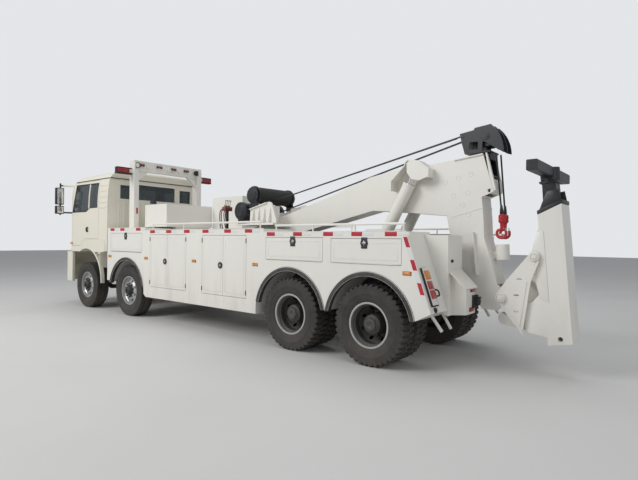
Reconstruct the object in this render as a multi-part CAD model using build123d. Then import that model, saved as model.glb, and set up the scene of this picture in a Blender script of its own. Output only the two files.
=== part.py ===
from build123d import *
import os
from math import atan2, cos, degrees, hypot, radians, sin, tan

# Heavy recovery truck: four axles, a tilting cab, side lockers, and a boom whose mast
# carries a folding underlift. Millimetres. X points forward, Y to the truck's left and
# Z up from the ground. The truck is drawn from its rearmost axle, and each node is
# shifted when it is written, so that the origin lies below the middle of the length.

# Overall places along the truck
FRONT_END = 9200
REAR_END = -2167
MIDDLE = (FRONT_END + REAR_END) / 2
RUNNING_GAP = 0.5
SEAT_GAP = 0.3

# Wheels and axles
AXLE_1 = 7890
AXLE_2 = 6003
AXLE_3 = 1373
AXLE_4 = 0
TYRE_RADIUS = 530
TYRE_WIDTH = 300
TREAD_WIDTH = 256
BEAD_RADIUS = 286
BEAD_WIDTH = 224
STEERED_TRACK = 1055
DUAL_OUTER = 1085
DUAL_SPACING = 345
KINGPIN_Y = 900
KINGPIN_RADIUS = 24
HUB_FACE_STEERED = 980
HUB_FACE_DRIVEN = 600
AXLE_Z = TYRE_RADIUS

# Chassis rails and body frame
RAIL_OUTER = 430
RAIL_FLANGE = 90
RAIL_WEB = 10
RAIL_BOTTOM = 760
RAIL_TOP = 1060
RAIL_REAR = -520
RAIL_FRONT = 8680
SUBFRAME_TOP = 1240
SUBFRAME_FRONT = 6700

# Side lockers
BODY_SIDE = 1250
WELL_SIDE = 620
BODY_FRONT = AXLE_2 + 797
TOP_FRONT = 1840
TOP_MIDDLE = 1790
TOP_REAR = 1740
STEP_1 = 5300
STEP_2 = 1900
SILL = 463
ARCH_RADIUS = 690
FLARE_WIDTH = 55
FLARE_PROUD = 10
DOOR_THICK = 30
DOOR_GAP = 6
DOOR_LIP = 28
WALL = 6

# Cab
CAB_REAR = 6880
CAB_SIDE = 1225
CAB_FLOOR = 1330
TILT_AXIS = (8970, 1310)
CAB_MOUNT_Y = (350, 410)
CAB_WALL = 45
GLASS_THICK = 6
GLASS_INSET = 14

# Boom, mast and underlift
BOOM_PIVOT = (3200, 1620)
BOOM_HALF = 170
BOOM_PLATE = 25
STOW_BAR = (-1300, 1716)
STOW_RADIUS = 13.5
ROPE_RADIUS = 11
ROPE_Y = 90
SHEAVE = (-1110, 3010)
GROOVE_RADIUS = 107
SHEAVE_RADIUS = 125
SHEAVE_CHEEK = 170
WINCH_CHEEK = (455, 485)
DRUM_RADIUS = 140
PIVOT_RADIUS = 50
FOLD_PIN = (-1362, 925)
KNUCKLE_Y = (226, 250)
TILT_PIN = (-1752, 1447)
LIFT_BASE = (535, 1330)
LIFT_HEAD = (-165, 2615)
LIFT_Y = 275
BARREL_RADIUS = 88
ROD_RADIUS = 45
EYE_RADIUS = 46
SLIDE_SLOPE = 11
ARM_LEAN = degrees(atan2(136, 1647))


def block(x, y, z):
    """A box given by its low and high ends along each axis."""
    size = [high - low for low, high in (x, y, z)]
    centre = [(high + low) / 2 for low, high in (x, y, z)]
    return Pos(*centre) * Box(*size)


def traced(outline, place):
    """A face inside a closed outline, each point set in space by place.

    A point is where a line ends. A pair of points is an arc's middle and its end.
    """
    here = outline[0]
    edges = []
    for step in outline[1:] + outline[:1]:
        if isinstance(step[0], tuple):
            middle, end = step
            edges.append(ThreePointArc(place(*here), place(*middle), place(*end)))
        else:
            end = step
            edges.append(Line(place(*here), place(*end)))
        here = end
    return Face(Wire(edges))


def side_plate(outline, y):
    """An outline of (x, z) points, as thick as the pair y."""
    return extrude(traced(outline, lambda px, pz: (px, y[0], pz)), y[1] - y[0], dir=(0, 1, 0))


def cross_plate(outline, x):
    """An outline of (y, z) points, as thick as the pair x."""
    return extrude(traced(outline, lambda py, pz: (x[0], py, pz)), x[1] - x[0], dir=(1, 0, 0))


def flat_plate(outline, z):
    """An outline of (x, y) points, as thick as the pair z."""
    return extrude(traced(outline, lambda px, py: (px, py, z[0])), z[1] - z[0], dir=(0, 0, 1))


def bar(start, end, radius):
    """A round bar between two points."""
    axis = Vector(*end) - Vector(*start)
    low = (Align.CENTER, Align.CENTER, Align.MIN)
    return Plane(origin=start, z_dir=axis) * Cylinder(radius, axis.length, align=low)


def pin_across(place, y, radius):
    """A round bar across the truck at the (x, z) place."""
    return bar((place[0], y[0], place[1]), (place[0], y[1], place[1]), radius)


def upright(x, y, z, radius):
    return bar((x, y, z[0]), (x, y, z[1]), radius)


def mirrored(shape):
    return mirror(shape, about=Plane.XZ)


def both_sides(shape):
    return shape + mirrored(shape)


def turned(outline):
    """A ring about the Y axis from (y, radius) points."""
    face = make_face(Polyline(*[(0, py, pr) for py, pr in outline], close=True))
    return revolve(face, axis=Axis((0, 0, 0), (0, 1, 0)), revolution_arc=360)


def on_side(shape, side):
    """The left side's shape as drawn, or its mirror image for the right side."""
    return shape if side == "left" else mirrored(shape)


NODES = {}


def keep(node, shape):
    NODES[node] = shape


# Wheels
def tyre(y):
    half_bead = BEAD_WIDTH / 2
    half_tread = TREAD_WIDTH / 2
    inner = BEAD_RADIUS + SEAT_GAP
    shoulder = TYRE_RADIUS - 22
    edges = [
        Line((0, -half_bead, inner), (0, half_bead, inner)),
        Line((0, half_bead, inner), (0, half_bead, inner + 20)),
        ThreePointArc((0, half_bead, inner + 20), (0, TYRE_WIDTH / 2, 410), (0, half_tread + 8, shoulder)),
        Line((0, half_tread + 8, shoulder), (0, half_tread, TYRE_RADIUS)),
        Line((0, half_tread, TYRE_RADIUS), (0, -half_tread, TYRE_RADIUS)),
        Line((0, -half_tread, TYRE_RADIUS), (0, -half_tread - 8, shoulder)),
        ThreePointArc((0, -half_tread - 8, shoulder), (0, -TYRE_WIDTH / 2, 410), (0, -half_bead, inner + 20)),
        Line((0, -half_bead, inner + 20), (0, -half_bead, inner)),
    ]
    ring = revolve(Face(Wire(edges)), axis=Axis((0, 0, 0), (0, 1, 0)), revolution_arc=360)
    return Pos(0, y, 0) * ring


def rim_barrel(y):
    half = BEAD_WIDTH / 2 + SEAT_GAP
    flange = 10
    outline = [
        (half + flange, 299), (half, 299), (half, BEAD_RADIUS), (75, BEAD_RADIUS), (55, 262),
        (-55, 262), (-75, BEAD_RADIUS), (-half, BEAD_RADIUS), (-half, 299), (-half - flange, 299),
        (-half - flange, 276), (-70, 274), (-48, 250), (48, 250), (70, 274), (half + flange, 276),
    ]
    return Pos(0, y, 0) * turned(outline)


def hand_holes(count, circle, radius, y):
    holes = []
    for index in range(count):
        angle = radians(360 / count * (index + 0.5))
        holes.append(pin_across((circle * cos(angle), circle * sin(angle)), y, radius))
    return holes


def steered_rim():
    """Flush disc wheel with its hub and brake drum, about the Y axis."""
    y = STEERED_TRACK
    disc = turned([(y + 40, 255), (y + 62, 255), (y + 104, 175), (y + 104, 0), (y + 86, 0), (y + 86, 165)])
    disc = disc - hand_holes(8, 208, 26, (y + 30, y + 110))
    drum = turned([(HUB_FACE_STEERED + SEAT_GAP, 0), (HUB_FACE_STEERED + SEAT_GAP, 195),
                   (y + 30, 195), (y + 30, 110), (y + 90, 110), (y + 90, 0)])
    hub = turned([(y + 90, 0), (y + 90, 108), (y + 128, 96), (y + 165, 70), (y + 172, 52), (y + 172, 0)])
    return rim_barrel(y) + disc + drum + hub


def driven_rims():
    """Two barrels with their discs clamped together on one hub, about the Y axis."""
    outer = DUAL_OUTER
    inner = DUAL_OUTER - DUAL_SPACING
    middle = (outer + inner) / 2
    disc_out = turned([(outer - 50, 255), (outer - 32, 255), (middle + 34, 170), (middle + 18, 0),
                       (middle, 0), (middle, 165), (middle + 18, 178)])
    disc_in = turned([(inner + 50, 255), (inner + 32, 255), (middle - 34, 170), (middle - 18, 0),
                      (middle, 0), (middle, 165), (middle - 18, 178)])
    disc_out = disc_out - hand_holes(8, 213, 24, (middle + 10, outer))
    drum = turned([(HUB_FACE_DRIVEN + SEAT_GAP, 0), (HUB_FACE_DRIVEN + SEAT_GAP, 205),
                   (middle - 60, 205), (middle - 60, 120), (middle, 120), (middle, 0)])
    hub = turned([(middle, 0), (middle, 150), (middle + 40, 142), (outer + 40, 128),
                  (outer + 62, 100), (outer + 62, 88), (outer + 84, 80), (outer + 84, 0)])
    return rim_barrel(outer) + rim_barrel(inner) + disc_out + disc_in + drum + hub


def knuckle():
    """Yoke, kingpin and flange of a steered wheel, with the axle at the origin."""
    yoke = block((-58, 58), (KINGPIN_Y + 45, HUB_FACE_STEERED - 18), (-120, 110))
    ears = [
        upright(0, KINGPIN_Y, (65 + RUNNING_GAP, 110), 46) + block((-46, 46), (KINGPIN_Y, KINGPIN_Y + 60),
                                                                   (65 + RUNNING_GAP, 110)),
        upright(0, KINGPIN_Y, (-120, -75 - RUNNING_GAP), 46) + block((-46, 46), (KINGPIN_Y, KINGPIN_Y + 60),
                                                                     (-120, -75 - RUNNING_GAP)),
    ]
    flange = pin_across((0, 0), (HUB_FACE_STEERED - 18, HUB_FACE_STEERED), 135)
    arm = block((-190, -40), (KINGPIN_Y - 20, KINGPIN_Y + 20), (-118, -90))
    kingpin = upright(0, KINGPIN_Y, (-120, 110), KINGPIN_RADIUS)
    return yoke + ears + [flange, arm, kingpin]


WHEEL_TABLE = [
    # name, axle place, steered
    ("axle1", AXLE_1, True),
    ("axle2", AXLE_2, True),
    ("axle3", AXLE_3, False),
    ("axle4", AXLE_4, False),
]


def make_wheels():
    for name, x, steered in WHEEL_TABLE:
        for side in ("left", "right"):
            place = Pos(x, 0, AXLE_Z)
            if steered:
                keep(f"tyre_{name}_{side}", place * on_side(tyre(STEERED_TRACK), side))
                keep(f"rim_{name}_{side}", place * on_side(steered_rim(), side))
                keep(f"knuckle_{name}_{side}", place * on_side(knuckle(), side))
            else:
                pair = tyre(DUAL_OUTER) + tyre(DUAL_OUTER - DUAL_SPACING)
                keep(f"tyres_{name}_{side}", place * on_side(pair, side))
                keep(f"rims_{name}_{side}", place * on_side(driven_rims(), side))


# Axles and suspension
def steered_axle(x):
    """Dropped beam with its fists and two leaf springs."""
    beam = cross_plate([(-700, -55), (-600, -130), (600, -130), (700, -55), (KINGPIN_Y, -55), (KINGPIN_Y, 45),
                        (690, 45), (560, -40), (-560, -40), (-690, 45), (-KINGPIN_Y, 45), (-KINGPIN_Y, -55)],
                       (-45, 45))
    fists = both_sides(upright(0, KINGPIN_Y, (-75, 65), 39))
    bores = both_sides(upright(0, KINGPIN_Y, (-80, 70), KINGPIN_RADIUS + 1.2))
    pads = both_sides(block((-70, 70), (345, 445), (-40, 30)))
    spring = side_plate([(-780, 165), (-740, 165), (-300, 80), (300, 80), (740, 165), (780, 165),
                         (780, 140), (740, 138), (420, 62), (180, 30), (-180, 30), (-420, 62),
                         (-740, 138), (-780, 140)], (352, 438))
    return Pos(x, 0, AXLE_Z) * (beam + fists + pads + both_sides(spring) - bores)


def driven_axle(x):
    """Housing with its differential and the flanges that the hubs run against."""
    tube = pin_across((0, 0), (-HUB_FACE_DRIVEN + 12, HUB_FACE_DRIVEN - 12), 78)
    flanges = both_sides(pin_across((0, 0), (HUB_FACE_DRIVEN - 12, HUB_FACE_DRIVEN), 150))
    banjo = pin_across((0, 0), (-95, 95), 215) + bar((0, 0, 0), (300, 0, 60), 85)
    return Pos(x, 0, AXLE_Z) * (tube + flanges + banjo)


SPRING_Y = (452, 540)


def bogie():
    """The two driven axles carried by one leaf pack a side on a trunnion."""
    middle = (AXLE_3 + AXLE_4) / 2
    pack = side_plate([(AXLE_4 - 60, AXLE_Z + 60), (AXLE_4 - 60, AXLE_Z + 95), (AXLE_4 + 250, AXLE_Z + 120),
                       (middle - 120, AXLE_Z + 175), (middle + 120, AXLE_Z + 175),
                       (AXLE_3 - 250, AXLE_Z + 120), (AXLE_3 + 60, AXLE_Z + 95), (AXLE_3 + 60, AXLE_Z + 60),
                       (middle + 120, AXLE_Z + 30), (middle - 120, AXLE_Z + 30)], SPRING_Y)
    trunnion = pin_across((middle, AXLE_Z + 20), (-SPRING_Y[1], SPRING_Y[1]), 70)
    return driven_axle(AXLE_4) + driven_axle(AXLE_3) + both_sides(pack) + trunnion


def make_axles():
    keep("axles", steered_axle(AXLE_1) + steered_axle(AXLE_2) + bogie())


# Chassis
CROSSMEMBERS = (-460, 2300, 3600, 4900, 6850, 8540)
OUTRIGGERS = (-480, (AXLE_3 + AXLE_4) / 2, 2250, 3600, 5050, 6700)
HANGER_REACH = 760
REAR_PANEL_Y = 380
COLUMN_REAR = -900
COLUMN_Y = 810


def rear_column():
    """The upright column at the body's rear, with the hooded jack box low on its face."""
    wall = side_plate([(-540, 1700), (COLUMN_REAR, 1700), (COLUMN_REAR, 700), (-840, 720)],
                      (COLUMN_Y - 10, COLUMN_Y))
    face = block((COLUMN_REAR, COLUMN_REAR + 10), (REAR_PANEL_Y, COLUMN_Y), (700, 1700))
    face = fillet(face.edges().filter_by(Axis.Z).group_by(Axis.X)[0].sort_by(Axis.Y)[-1:], 9)
    top = block((COLUMN_REAR, -560), (REAR_PANEL_Y, COLUMN_Y), (1690, 1700))
    jack = side_plate([(-890, 1255), (-905, 1255), (-1090, 1065), (-1090, 720), (-890, 700)], (420, 700))
    hood = side_plate([(-890, 1262), (-905, 1262), (-1122, 1046), (-1112, 1034), (-890, 1248)], (400, 780))
    struts = bar((-744, 1000, 760), (-916, 1000, 537), 20) + bar((-744, 680, 760), (-889, 680, 525), 20)
    return wall + face + top + jack + hood + struts


def rail():
    outline = [
        (RAIL_OUTER, RAIL_BOTTOM), (RAIL_OUTER, RAIL_TOP), (RAIL_OUTER - RAIL_FLANGE, RAIL_TOP),
        (RAIL_OUTER - RAIL_FLANGE, RAIL_TOP - RAIL_WEB), (RAIL_OUTER - RAIL_WEB, RAIL_TOP - RAIL_WEB),
        (RAIL_OUTER - RAIL_WEB, RAIL_BOTTOM + RAIL_WEB), (RAIL_OUTER - RAIL_FLANGE, RAIL_BOTTOM + RAIL_WEB),
        (RAIL_OUTER - RAIL_FLANGE, RAIL_BOTTOM),
    ]
    return cross_plate(outline, (RAIL_REAR, RAIL_FRONT))


def make_chassis():
    inner_web = RAIL_OUTER - RAIL_WEB
    frame = both_sides(rail())
    subframe = block((RAIL_REAR, SUBFRAME_FRONT), (RAIL_OUTER - 85, RAIL_OUTER - 5), (RAIL_TOP, SUBFRAME_TOP))
    frame += both_sides(subframe)
    frame += [block((x - 50, x + 50), (-inner_web, inner_web), (RAIL_BOTTOM + 40, RAIL_TOP - 40))
              for x in CROSSMEMBERS]
    arms = [block((x - 35, x + 35), (RAIL_OUTER - 5, WELL_SIDE - SEAT_GAP),
                  (SUBFRAME_TOP - 130, SUBFRAME_TOP)) for x in OUTRIGGERS]
    hangers = []
    for x in (AXLE_1, AXLE_2):
        for end in (-1, 1):
            hangers.append(block((x + end * HANGER_REACH - 20, x + end * HANGER_REACH + 20), (350, 440),
                                 (AXLE_Z + 165 + SEAT_GAP, RAIL_BOTTOM)))
    for member in arms + hangers:
        frame += both_sides(member)
    middle = (AXLE_3 + AXLE_4) / 2
    saddle = side_plate([(middle - 170, RAIL_BOTTOM), (middle - 90, AXLE_Z + 90 + SEAT_GAP),
                         (middle + 90, AXLE_Z + 90 + SEAT_GAP), (middle + 170, RAIL_BOTTOM)],
                        (RAIL_OUTER - RAIL_FLANGE, RAIL_OUTER))
    frame += both_sides(saddle)
    px, pz = BOOM_PIVOT
    ear = side_plate([(px - 330, SUBFRAME_TOP - 10), (px + 330, SUBFRAME_TOP - 10), (px + 95, pz + 60),
                      (px + 55, pz + 95), (px - 55, pz + 95), (px - 95, pz + 60)],
                     (BOOM_HALF + 25, BOOM_HALF + 65))
    beam = block((px - 330, px + 330), (-RAIL_OUTER + 40, RAIL_OUTER - 40), (SUBFRAME_TOP - 70, SUBFRAME_TOP))
    pivot = pin_across(BOOM_PIVOT, (-BOOM_HALF - 80, BOOM_HALF + 80), PIVOT_RADIUS)
    frame += [ear, mirrored(ear), beam, pivot]
    bx, bz = LIFT_BASE
    for low, high in ((LIFT_Y - 80, LIFT_Y - 48), (LIFT_Y + 48, LIFT_Y + 76)):
        foot = side_plate([(bx - 130, SUBFRAME_TOP - 60), (bx + 130, SUBFRAME_TOP - 60), (bx + 60, bz + 40),
                           (bx + 20, bz + 70), (bx - 20, bz + 70), (bx - 60, bz + 40)], (low, high))
        frame += both_sides(foot)
    base = block((bx - 130, bx + 130), (LIFT_Y - 80, RAIL_OUTER - 10),
                 (SUBFRAME_TOP - 100, SUBFRAME_TOP - 50))
    frame += both_sides(base)
    tx, tz = TILT_AXIS
    bracket = side_plate([(RAIL_FRONT - 120, RAIL_TOP - 5), (RAIL_FRONT, 1002), (tx + 14, tz - 14),
                          (tx - 14, tz + 12), (RAIL_FRONT - 120, RAIL_TOP + 60)], CAB_MOUNT_Y)
    bracket += pin_across(TILT_AXIS, CAB_MOUNT_Y, CAB_FLOOR - tz - RUNNING_GAP)
    rear_mount = block((6900, 6990), CAB_MOUNT_Y, (RAIL_TOP - 5, CAB_FLOOR - SEAT_GAP))
    frame += both_sides(bracket + rear_mount)
    foot = side_plate([(RAIL_REAR, RAIL_BOTTOM), (RAIL_REAR + 40, RAIL_TOP), (-560, RAIL_TOP + 200),
                       (-681, RAIL_TOP + 200), (-803, RAIL_BOTTOM + 60)], (REAR_PANEL_Y, RAIL_OUTER - 2))
    frame += both_sides(foot)
    keep("chassis_frame", frame)
    engine = block((7450, 8400), (-320, 320), (700, 1270)) + block((6970, 7450), (-200, 200), (640, 1020))
    web = inner_web - SEAT_GAP
    for x in (7110, 7560, 8220):
        engine += block((x, x + 80), (-web, web), (RAIL_BOTTOM + RAIL_WEB + SEAT_GAP, RAIL_BOTTOM + 70))
    keep("engine", engine)


# Side lockers
DOOR_TABLE = [
    # name, x range, z range, kind
    ("front_flap", (AXLE_2 - 613, AXLE_2 + 657), (1340, 1730), "flap"),
    ("locker_1", (3900, 5090), (680, 1700), "pair"),
    ("locker_2", (2290, 3430), (680, 1690), "pair"),
    ("rear_flap_1", (AXLE_3 - 643, AXLE_3 + 477), (1320, 1660), "flap"),
    ("rear_flap_2", (AXLE_4 - 500, AXLE_4 + 590), (1320, 1650), "flap"),
]


def body_outline():
    return [
        (BODY_FRONT, TOP_FRONT), (BODY_FRONT, 705), (AXLE_2 + 652, 705), (AXLE_2, 705), (AXLE_2, AXLE_Z),
        (AXLE_2 - 673, AXLE_Z), (AXLE_2 - 769, SILL), (2055, SILL), (AXLE_3, SILL + 20),
        (AXLE_3, 655), (AXLE_4, 655),
        (-690, 667), (-893, 770), (-556, TOP_REAR), (STEP_2, TOP_REAR), (STEP_2, TOP_MIDDLE),
        (STEP_1, TOP_MIDDLE), (STEP_1, TOP_FRONT),
    ]


def arch_cut(x, y):
    return pin_across((x, AXLE_Z), y, ARCH_RADIUS)


def flare(x):
    """Half ring that edges a wheel arch."""
    outside = (BODY_SIDE - 60, BODY_SIDE + FLARE_PROUD)
    ring = pin_across((x, AXLE_Z), outside, ARCH_RADIUS + 5) - pin_across((x, AXLE_Z), outside,
                                                                          ARCH_RADIUS - FLARE_WIDTH)
    keep_above = block((x - 900, x + 900), outside, (AXLE_Z + 135, AXLE_Z + 900))
    return ring & keep_above


def handrail(x, z, base):
    """Rail tube with its posts, near the outer edge of the locker's top."""
    y = BODY_SIDE - 25
    rail_tube = bar((x[0], y, z), (x[1], y, z), 16)
    count = 4
    posts = [upright(x[0] + 20 + (x[1] - x[0] - 40) * index / (count - 1), y, (base, z), 12)
             for index in range(count)]
    return rail_tube + posts


def make_lockers():
    shell = side_plate(body_outline(), (WELL_SIDE, BODY_SIDE))
    for x in (AXLE_2, AXLE_3, AXLE_4):
        shell -= arch_cut(x, (WELL_SIDE - 10, BODY_SIDE + 10))
    for name, x, z, kind in DOOR_TABLE:
        shell -= block(x, (BODY_SIDE - DOOR_THICK - RUNNING_GAP, BODY_SIDE + 5), z)
        shell -= block((x[0] + DOOR_LIP, x[1] - DOOR_LIP), (WELL_SIDE + WALL, BODY_SIDE),
                       (z[0] + DOOR_LIP, z[1] - DOOR_LIP))
    shell -= block((2100, 5200), (WELL_SIDE + 40, BODY_SIDE - 20), (SILL - 5, 650))
    for x in (AXLE_2, AXLE_3, AXLE_4):
        shell += flare(x)
    lamp = side_plate([(-690, 1290), (-745, 1300), (-895, 870), (-840, 850)], (1040, 1190))
    shell += [rear_column(), lamp]
    shell += handrail((1980, 5040), 1900, TOP_MIDDLE)
    shell += handrail((-530, 1670), 1835, TOP_REAR)
    keep("locker_left", shell)
    keep("locker_right", mirrored(shell))


def leaf(x, z):
    """Door leaf with a round latch plate."""
    return block((x[0] + DOOR_GAP, x[1] - DOOR_GAP), (BODY_SIDE - DOOR_THICK, BODY_SIDE),
                 (z[0] + DOOR_GAP, z[1] - DOOR_GAP))


def latch(x, z):
    return pin_across((x, z), (BODY_SIDE - 1, BODY_SIDE + 6), 52)


def make_doors():
    for name, x, z, kind in DOOR_TABLE:
        middle = (x[0] + x[1]) / 2
        if kind == "flap":
            leaves = [("", leaf(x, z) + latch(middle, z[1] - 60))]
        else:
            front = leaf((middle - DOOR_GAP / 2, x[1]), z) + latch(middle + 70, (z[0] + z[1]) / 2)
            rear = leaf((x[0], middle + DOOR_GAP / 2), z)
            leaves = [("_front", front), ("_rear", rear)]
        for suffix, shape in leaves:
            keep(f"door_{name}{suffix}_left", shape)
            keep(f"door_{name}{suffix}_right", mirrored(shape))


# Deck, tank, cabinet and rear frame
DECK_REAR = 3900
DECK_TOP = 1740
TANK_X = (5150, 6325)
TANK_TOP = 2340
CABINET_X = (4150, 5140)


def make_deck():
    inner = WELL_SIDE - SEAT_GAP
    deck = block((DECK_REAR, BODY_FRONT), (-inner, inner), (DECK_TOP - 12, DECK_TOP))
    for x in (DECK_REAR + 60, 5050, 5900, SUBFRAME_FRONT - 60):
        deck += block((x - 40, x + 40), (-inner, inner), (DECK_TOP - 92, DECK_TOP - 12))
        for y in (RAIL_OUTER - 45, 45 - RAIL_OUTER):
            deck += block((x - 40, x + 40), (y - 35, y + 35), (SUBFRAME_TOP + SEAT_GAP, DECK_TOP - 92))
    tank = block(TANK_X, (-290, 850), (DECK_TOP + 130, TANK_TOP))
    front_edges = tank.edges().filter_by(Axis.Z).group_by(Axis.X)[-1].sort_by(Axis.Y)
    tank = fillet(front_edges[-1:], 480)
    stand = block((TANK_X[0] + 40, TANK_X[1] - 240), (-260, 600), (DECK_TOP, DECK_TOP + 130))
    cabinet = block(CABINET_X, (-980, -300), (DECK_TOP + 120, 2540))
    cabinet_stand = block((CABINET_X[0] + 60, CABINET_X[1] - 60), (-600, -420), (DECK_TOP, DECK_TOP + 120))
    cap = upright(5750, 450, (TANK_TOP, TANK_TOP + 40), 45)
    deck += [tank, stand, cabinet, cabinet_stand, cap]
    keep("deck", deck)


# Light frame behind the cab
def make_gantry():
    x = (6360, 6560)
    outer = 885
    base = TOP_FRONT + SEAT_GAP
    post = block(x, (outer - 110, outer), (base, 3350))
    foot = block((x[0] - 40, x[1] + 40), (outer - 120, outer + 40), (base, base + 16))
    beam = block((6400, 6520), (-outer + 50, outer - 50), (3120, 3350))
    gusset = cross_plate([(outer - 110, 2880), (outer - 110, 3120), (outer - 360, 3120), (outer - 300, 3060),
                          (outer - 170, 2940)], (6420, 6500))
    strobe = block((6430, 6530), (outer, 1240), (3045, 3165))
    lens = [bar((6370, y, 3235), (6400, y, 3235), 42) for y in (0, 270, 540, -270, -540)]
    ends = [bar((6340, y, 3240), (x[0], y, 3240), 52) for y in (outer - 55, 55 - outer)]
    keep("gantry", beam + both_sides(post + foot + gusset + strobe) + lens + ends)


# Cab
def cab_form(inset):
    """The cab's outer form, or the form that lies evenly inside it."""
    bottom = CAB_FLOOR + inset
    side = [
        (CAB_REAR + inset, bottom), (CAB_REAR + inset, 3080 - inset),
        ((6895 + inset, 3140 - inset), (6950, 3170 - inset)),
        ((7500, 3207 - inset), (8150, 3180 - inset)),
        ((8390 - inset / 2, 3110 - inset), (8560 - inset, 3000 - inset)),
        (8990 - inset, 2120), ((9045 - inset, 1740), (9060 - inset, bottom)),
    ]
    half = CAB_SIDE - inset
    plan = [
        (CAB_REAR - 5, -half), (CAB_REAR - 5, half), (8560, half),
        ((8812 - inset * 0.7, half - 82), (8970 - inset, half - 300)),
        ((9070 - inset, 0), (8970 - inset, 300 - half)),
        ((8812 - inset * 0.7, 82 - half), (8560, -half)),
    ]
    front = [
        (half, bottom - 5), (half, 2300), ((half - 12, 2620), (half - 45, 2930)),
        ((half - 112, 3040 - inset), (half - 300, 3125 - inset)),
        ((0, 3207 - inset), (300 - half, 3125 - inset)),
        ((112 - half, 3040 - inset), (45 - half, 2930)),
        ((12 - half, 2620), (-half, 2300)), (-half, bottom - 5),
    ]
    return (side_plate(side, (-half, half)) & flat_plate(plan, (bottom - 5, 3250))
            & cross_plate(front, (CAB_REAR - 5, 9100)))


DOOR_OUTLINE = [(7290, 1600), (7980, 1600), (8180, 1440), (8740, 1440), (8740, 2210), (8560, 2945),
                (7290, 2945)]
WINDOW_OUTLINE = [(7350, 2320), (7716, 2320), (7900, 2240), (8630, 2235), (8470, 2890), (7350, 2875)]
REAR_WINDOWS = [
    # y range, z range
    ((-480, 480), (2520, 2870)),
    ((620, 930), (2520, 2830)),
    ((-930, -620), (2520, 2830)),
]
WINDSCREEN = [(1040, 2200), (1085, 2320), (1000, 2900), (960, 2960), (-960, 2960), (-1000, 2900),
              (-1085, 2320), (-1040, 2200)]


def shrunk(outline, gap):
    """An outline moved in by the gap on each side of its middle."""
    xs = [px for px, pz in outline]
    zs = [pz for px, pz in outline]
    cx = (min(xs) + max(xs)) / 2
    cz = (min(zs) + max(zs)) / 2
    wide = 1 - 2 * gap / (max(xs) - min(xs))
    high = 1 - 2 * gap / (max(zs) - min(zs))
    return [(cx + (px - cx) * wide, cz + (pz - cz) * high) for px, pz in outline]


def fender():
    """Arch over the front wheel with the mudguard strip behind it."""
    outline = [(6957, 1330), (6957, 1480), (7010, 1585), (7951, 1585), (8150, 1425), (8600, 1425),
               (8660, 1335), (8660, 1300), (7158, 1300)]
    arch = side_plate(outline, (905, CAB_SIDE + 12))
    arch += side_plate([(6957, CAB_FLOOR), (8800, CAB_FLOOR), (8800, CAB_FLOOR + 45), (6957, CAB_FLOOR + 45)],
                       (560, 905))
    arch -= pin_across((7860, 640), (540, CAB_SIDE + 30), 735)
    strip = side_plate([(7158, 1309), (7205, 1262), (7190, 1100), (7160, 640), (7172, 640), (7205, 1100),
                        (7225, 1262), (7300, 1262), (7300, 1330), (7158, 1330)], (915, CAB_SIDE))
    return arch + strip


def mirror_arm():
    """Mirror housings on their arm, beside the windscreen pillar."""
    arm = bar((8790, 1140, 2240), (8900, 1400, 2240), 16) + bar((8606, 1130, 2880), (8900, 1400, 2900), 16)
    post = upright(8900, 1400, (2190, 2950), 16)
    head = block((8860, 8960), (1330, 1500), (2440, 2840)) + block((8860, 8960), (1330, 1500), (2210, 2400))
    return arm + post + head


def make_cab():
    outer = cab_form(0)
    walls = outer - cab_form(CAB_WALL)
    apertures = both_sides(side_plate(DOOR_OUTLINE, (CAB_SIDE - 160, CAB_SIDE + 20)))
    shell = walls - apertures
    for y, z in REAR_WINDOWS:
        shell -= block((CAB_REAR - 20, CAB_REAR + 80), y, z)
    shell -= cross_plate(WINDSCREEN, (8300, 9200))
    shell += both_sides(fender())
    shell -= both_sides(pin_across((7860, 640), (560, CAB_SIDE + 30), 735))
    shell += both_sides(mirror_arm())
    keep("cab_shell", shell)

    pane = cab_form(GLASS_INSET) - cab_form(GLASS_INSET + GLASS_THICK)
    screen = pane & cross_plate(WINDSCREEN, (8300, 9200))
    rear_panes = [pane & block((CAB_REAR, CAB_REAR + 60), y, z) for y, z in REAR_WINDOWS]
    keep("cab_glass", screen + rear_panes)

    door_cut = side_plate(shrunk(DOOR_OUTLINE, DOOR_GAP), (CAB_SIDE - 160, CAB_SIDE + 20))
    window_cut = side_plate(WINDOW_OUTLINE, (CAB_SIDE - 160, CAB_SIDE + 20))
    door = (walls & door_cut) - window_cut
    door += block((7770, 7890), (CAB_SIDE - 4, CAB_SIDE + 12), (1790, 1850))
    behind_glass = GLASS_INSET + GLASS_THICK + 1
    door += (cab_form(behind_glass) - cab_form(CAB_WALL)) & block((7585, 7620), (900, CAB_SIDE), (2310, 2885))
    glass = pane & window_cut
    keep("cab_door_left", door)
    keep("cab_door_right", mirrored(door))
    keep("door_glass_left", glass)
    keep("door_glass_right", mirrored(glass))

    floor = CAB_FLOOR + CAB_WALL
    seat = block((7500, 8020), (-250, 250), (floor + 250, floor + 400))
    back = side_plate([(7500, floor + 380), (7620, floor + 380), (7500, floor + 1080), (7380, floor + 1080)],
                      (-240, 240))
    pedestal = block((7560, 7960), (-180, 180), (floor, floor + 250))
    chair = seat + back + pedestal
    dash = block((8480, 8960), (-1120, 1120), (floor + 420, floor + 760)) & cab_form(CAB_WALL + SEAT_GAP)
    column = bar((8560, 620, floor + 560), (8290, 620, floor + 800), 40)
    wheel = Plane(origin=(8290, 620, floor + 800), z_dir=(-270, 0, 240)) * Torus(215, 18)
    spoke = Plane(origin=(8290, 620, floor + 800), z_dir=(-270, 0, 240)) * Box(420, 40, 16)
    bunk = block((CAB_REAR + CAB_WALL + SEAT_GAP, CAB_REAR + 450), (-1100, 1100), (floor + 300, floor + 520))
    chairs = [Pos(0, y, 0) * chair for y in (620, -620)]
    keep("cab_interior", dash + column + wheel + spoke + chairs + [bunk])


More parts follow.
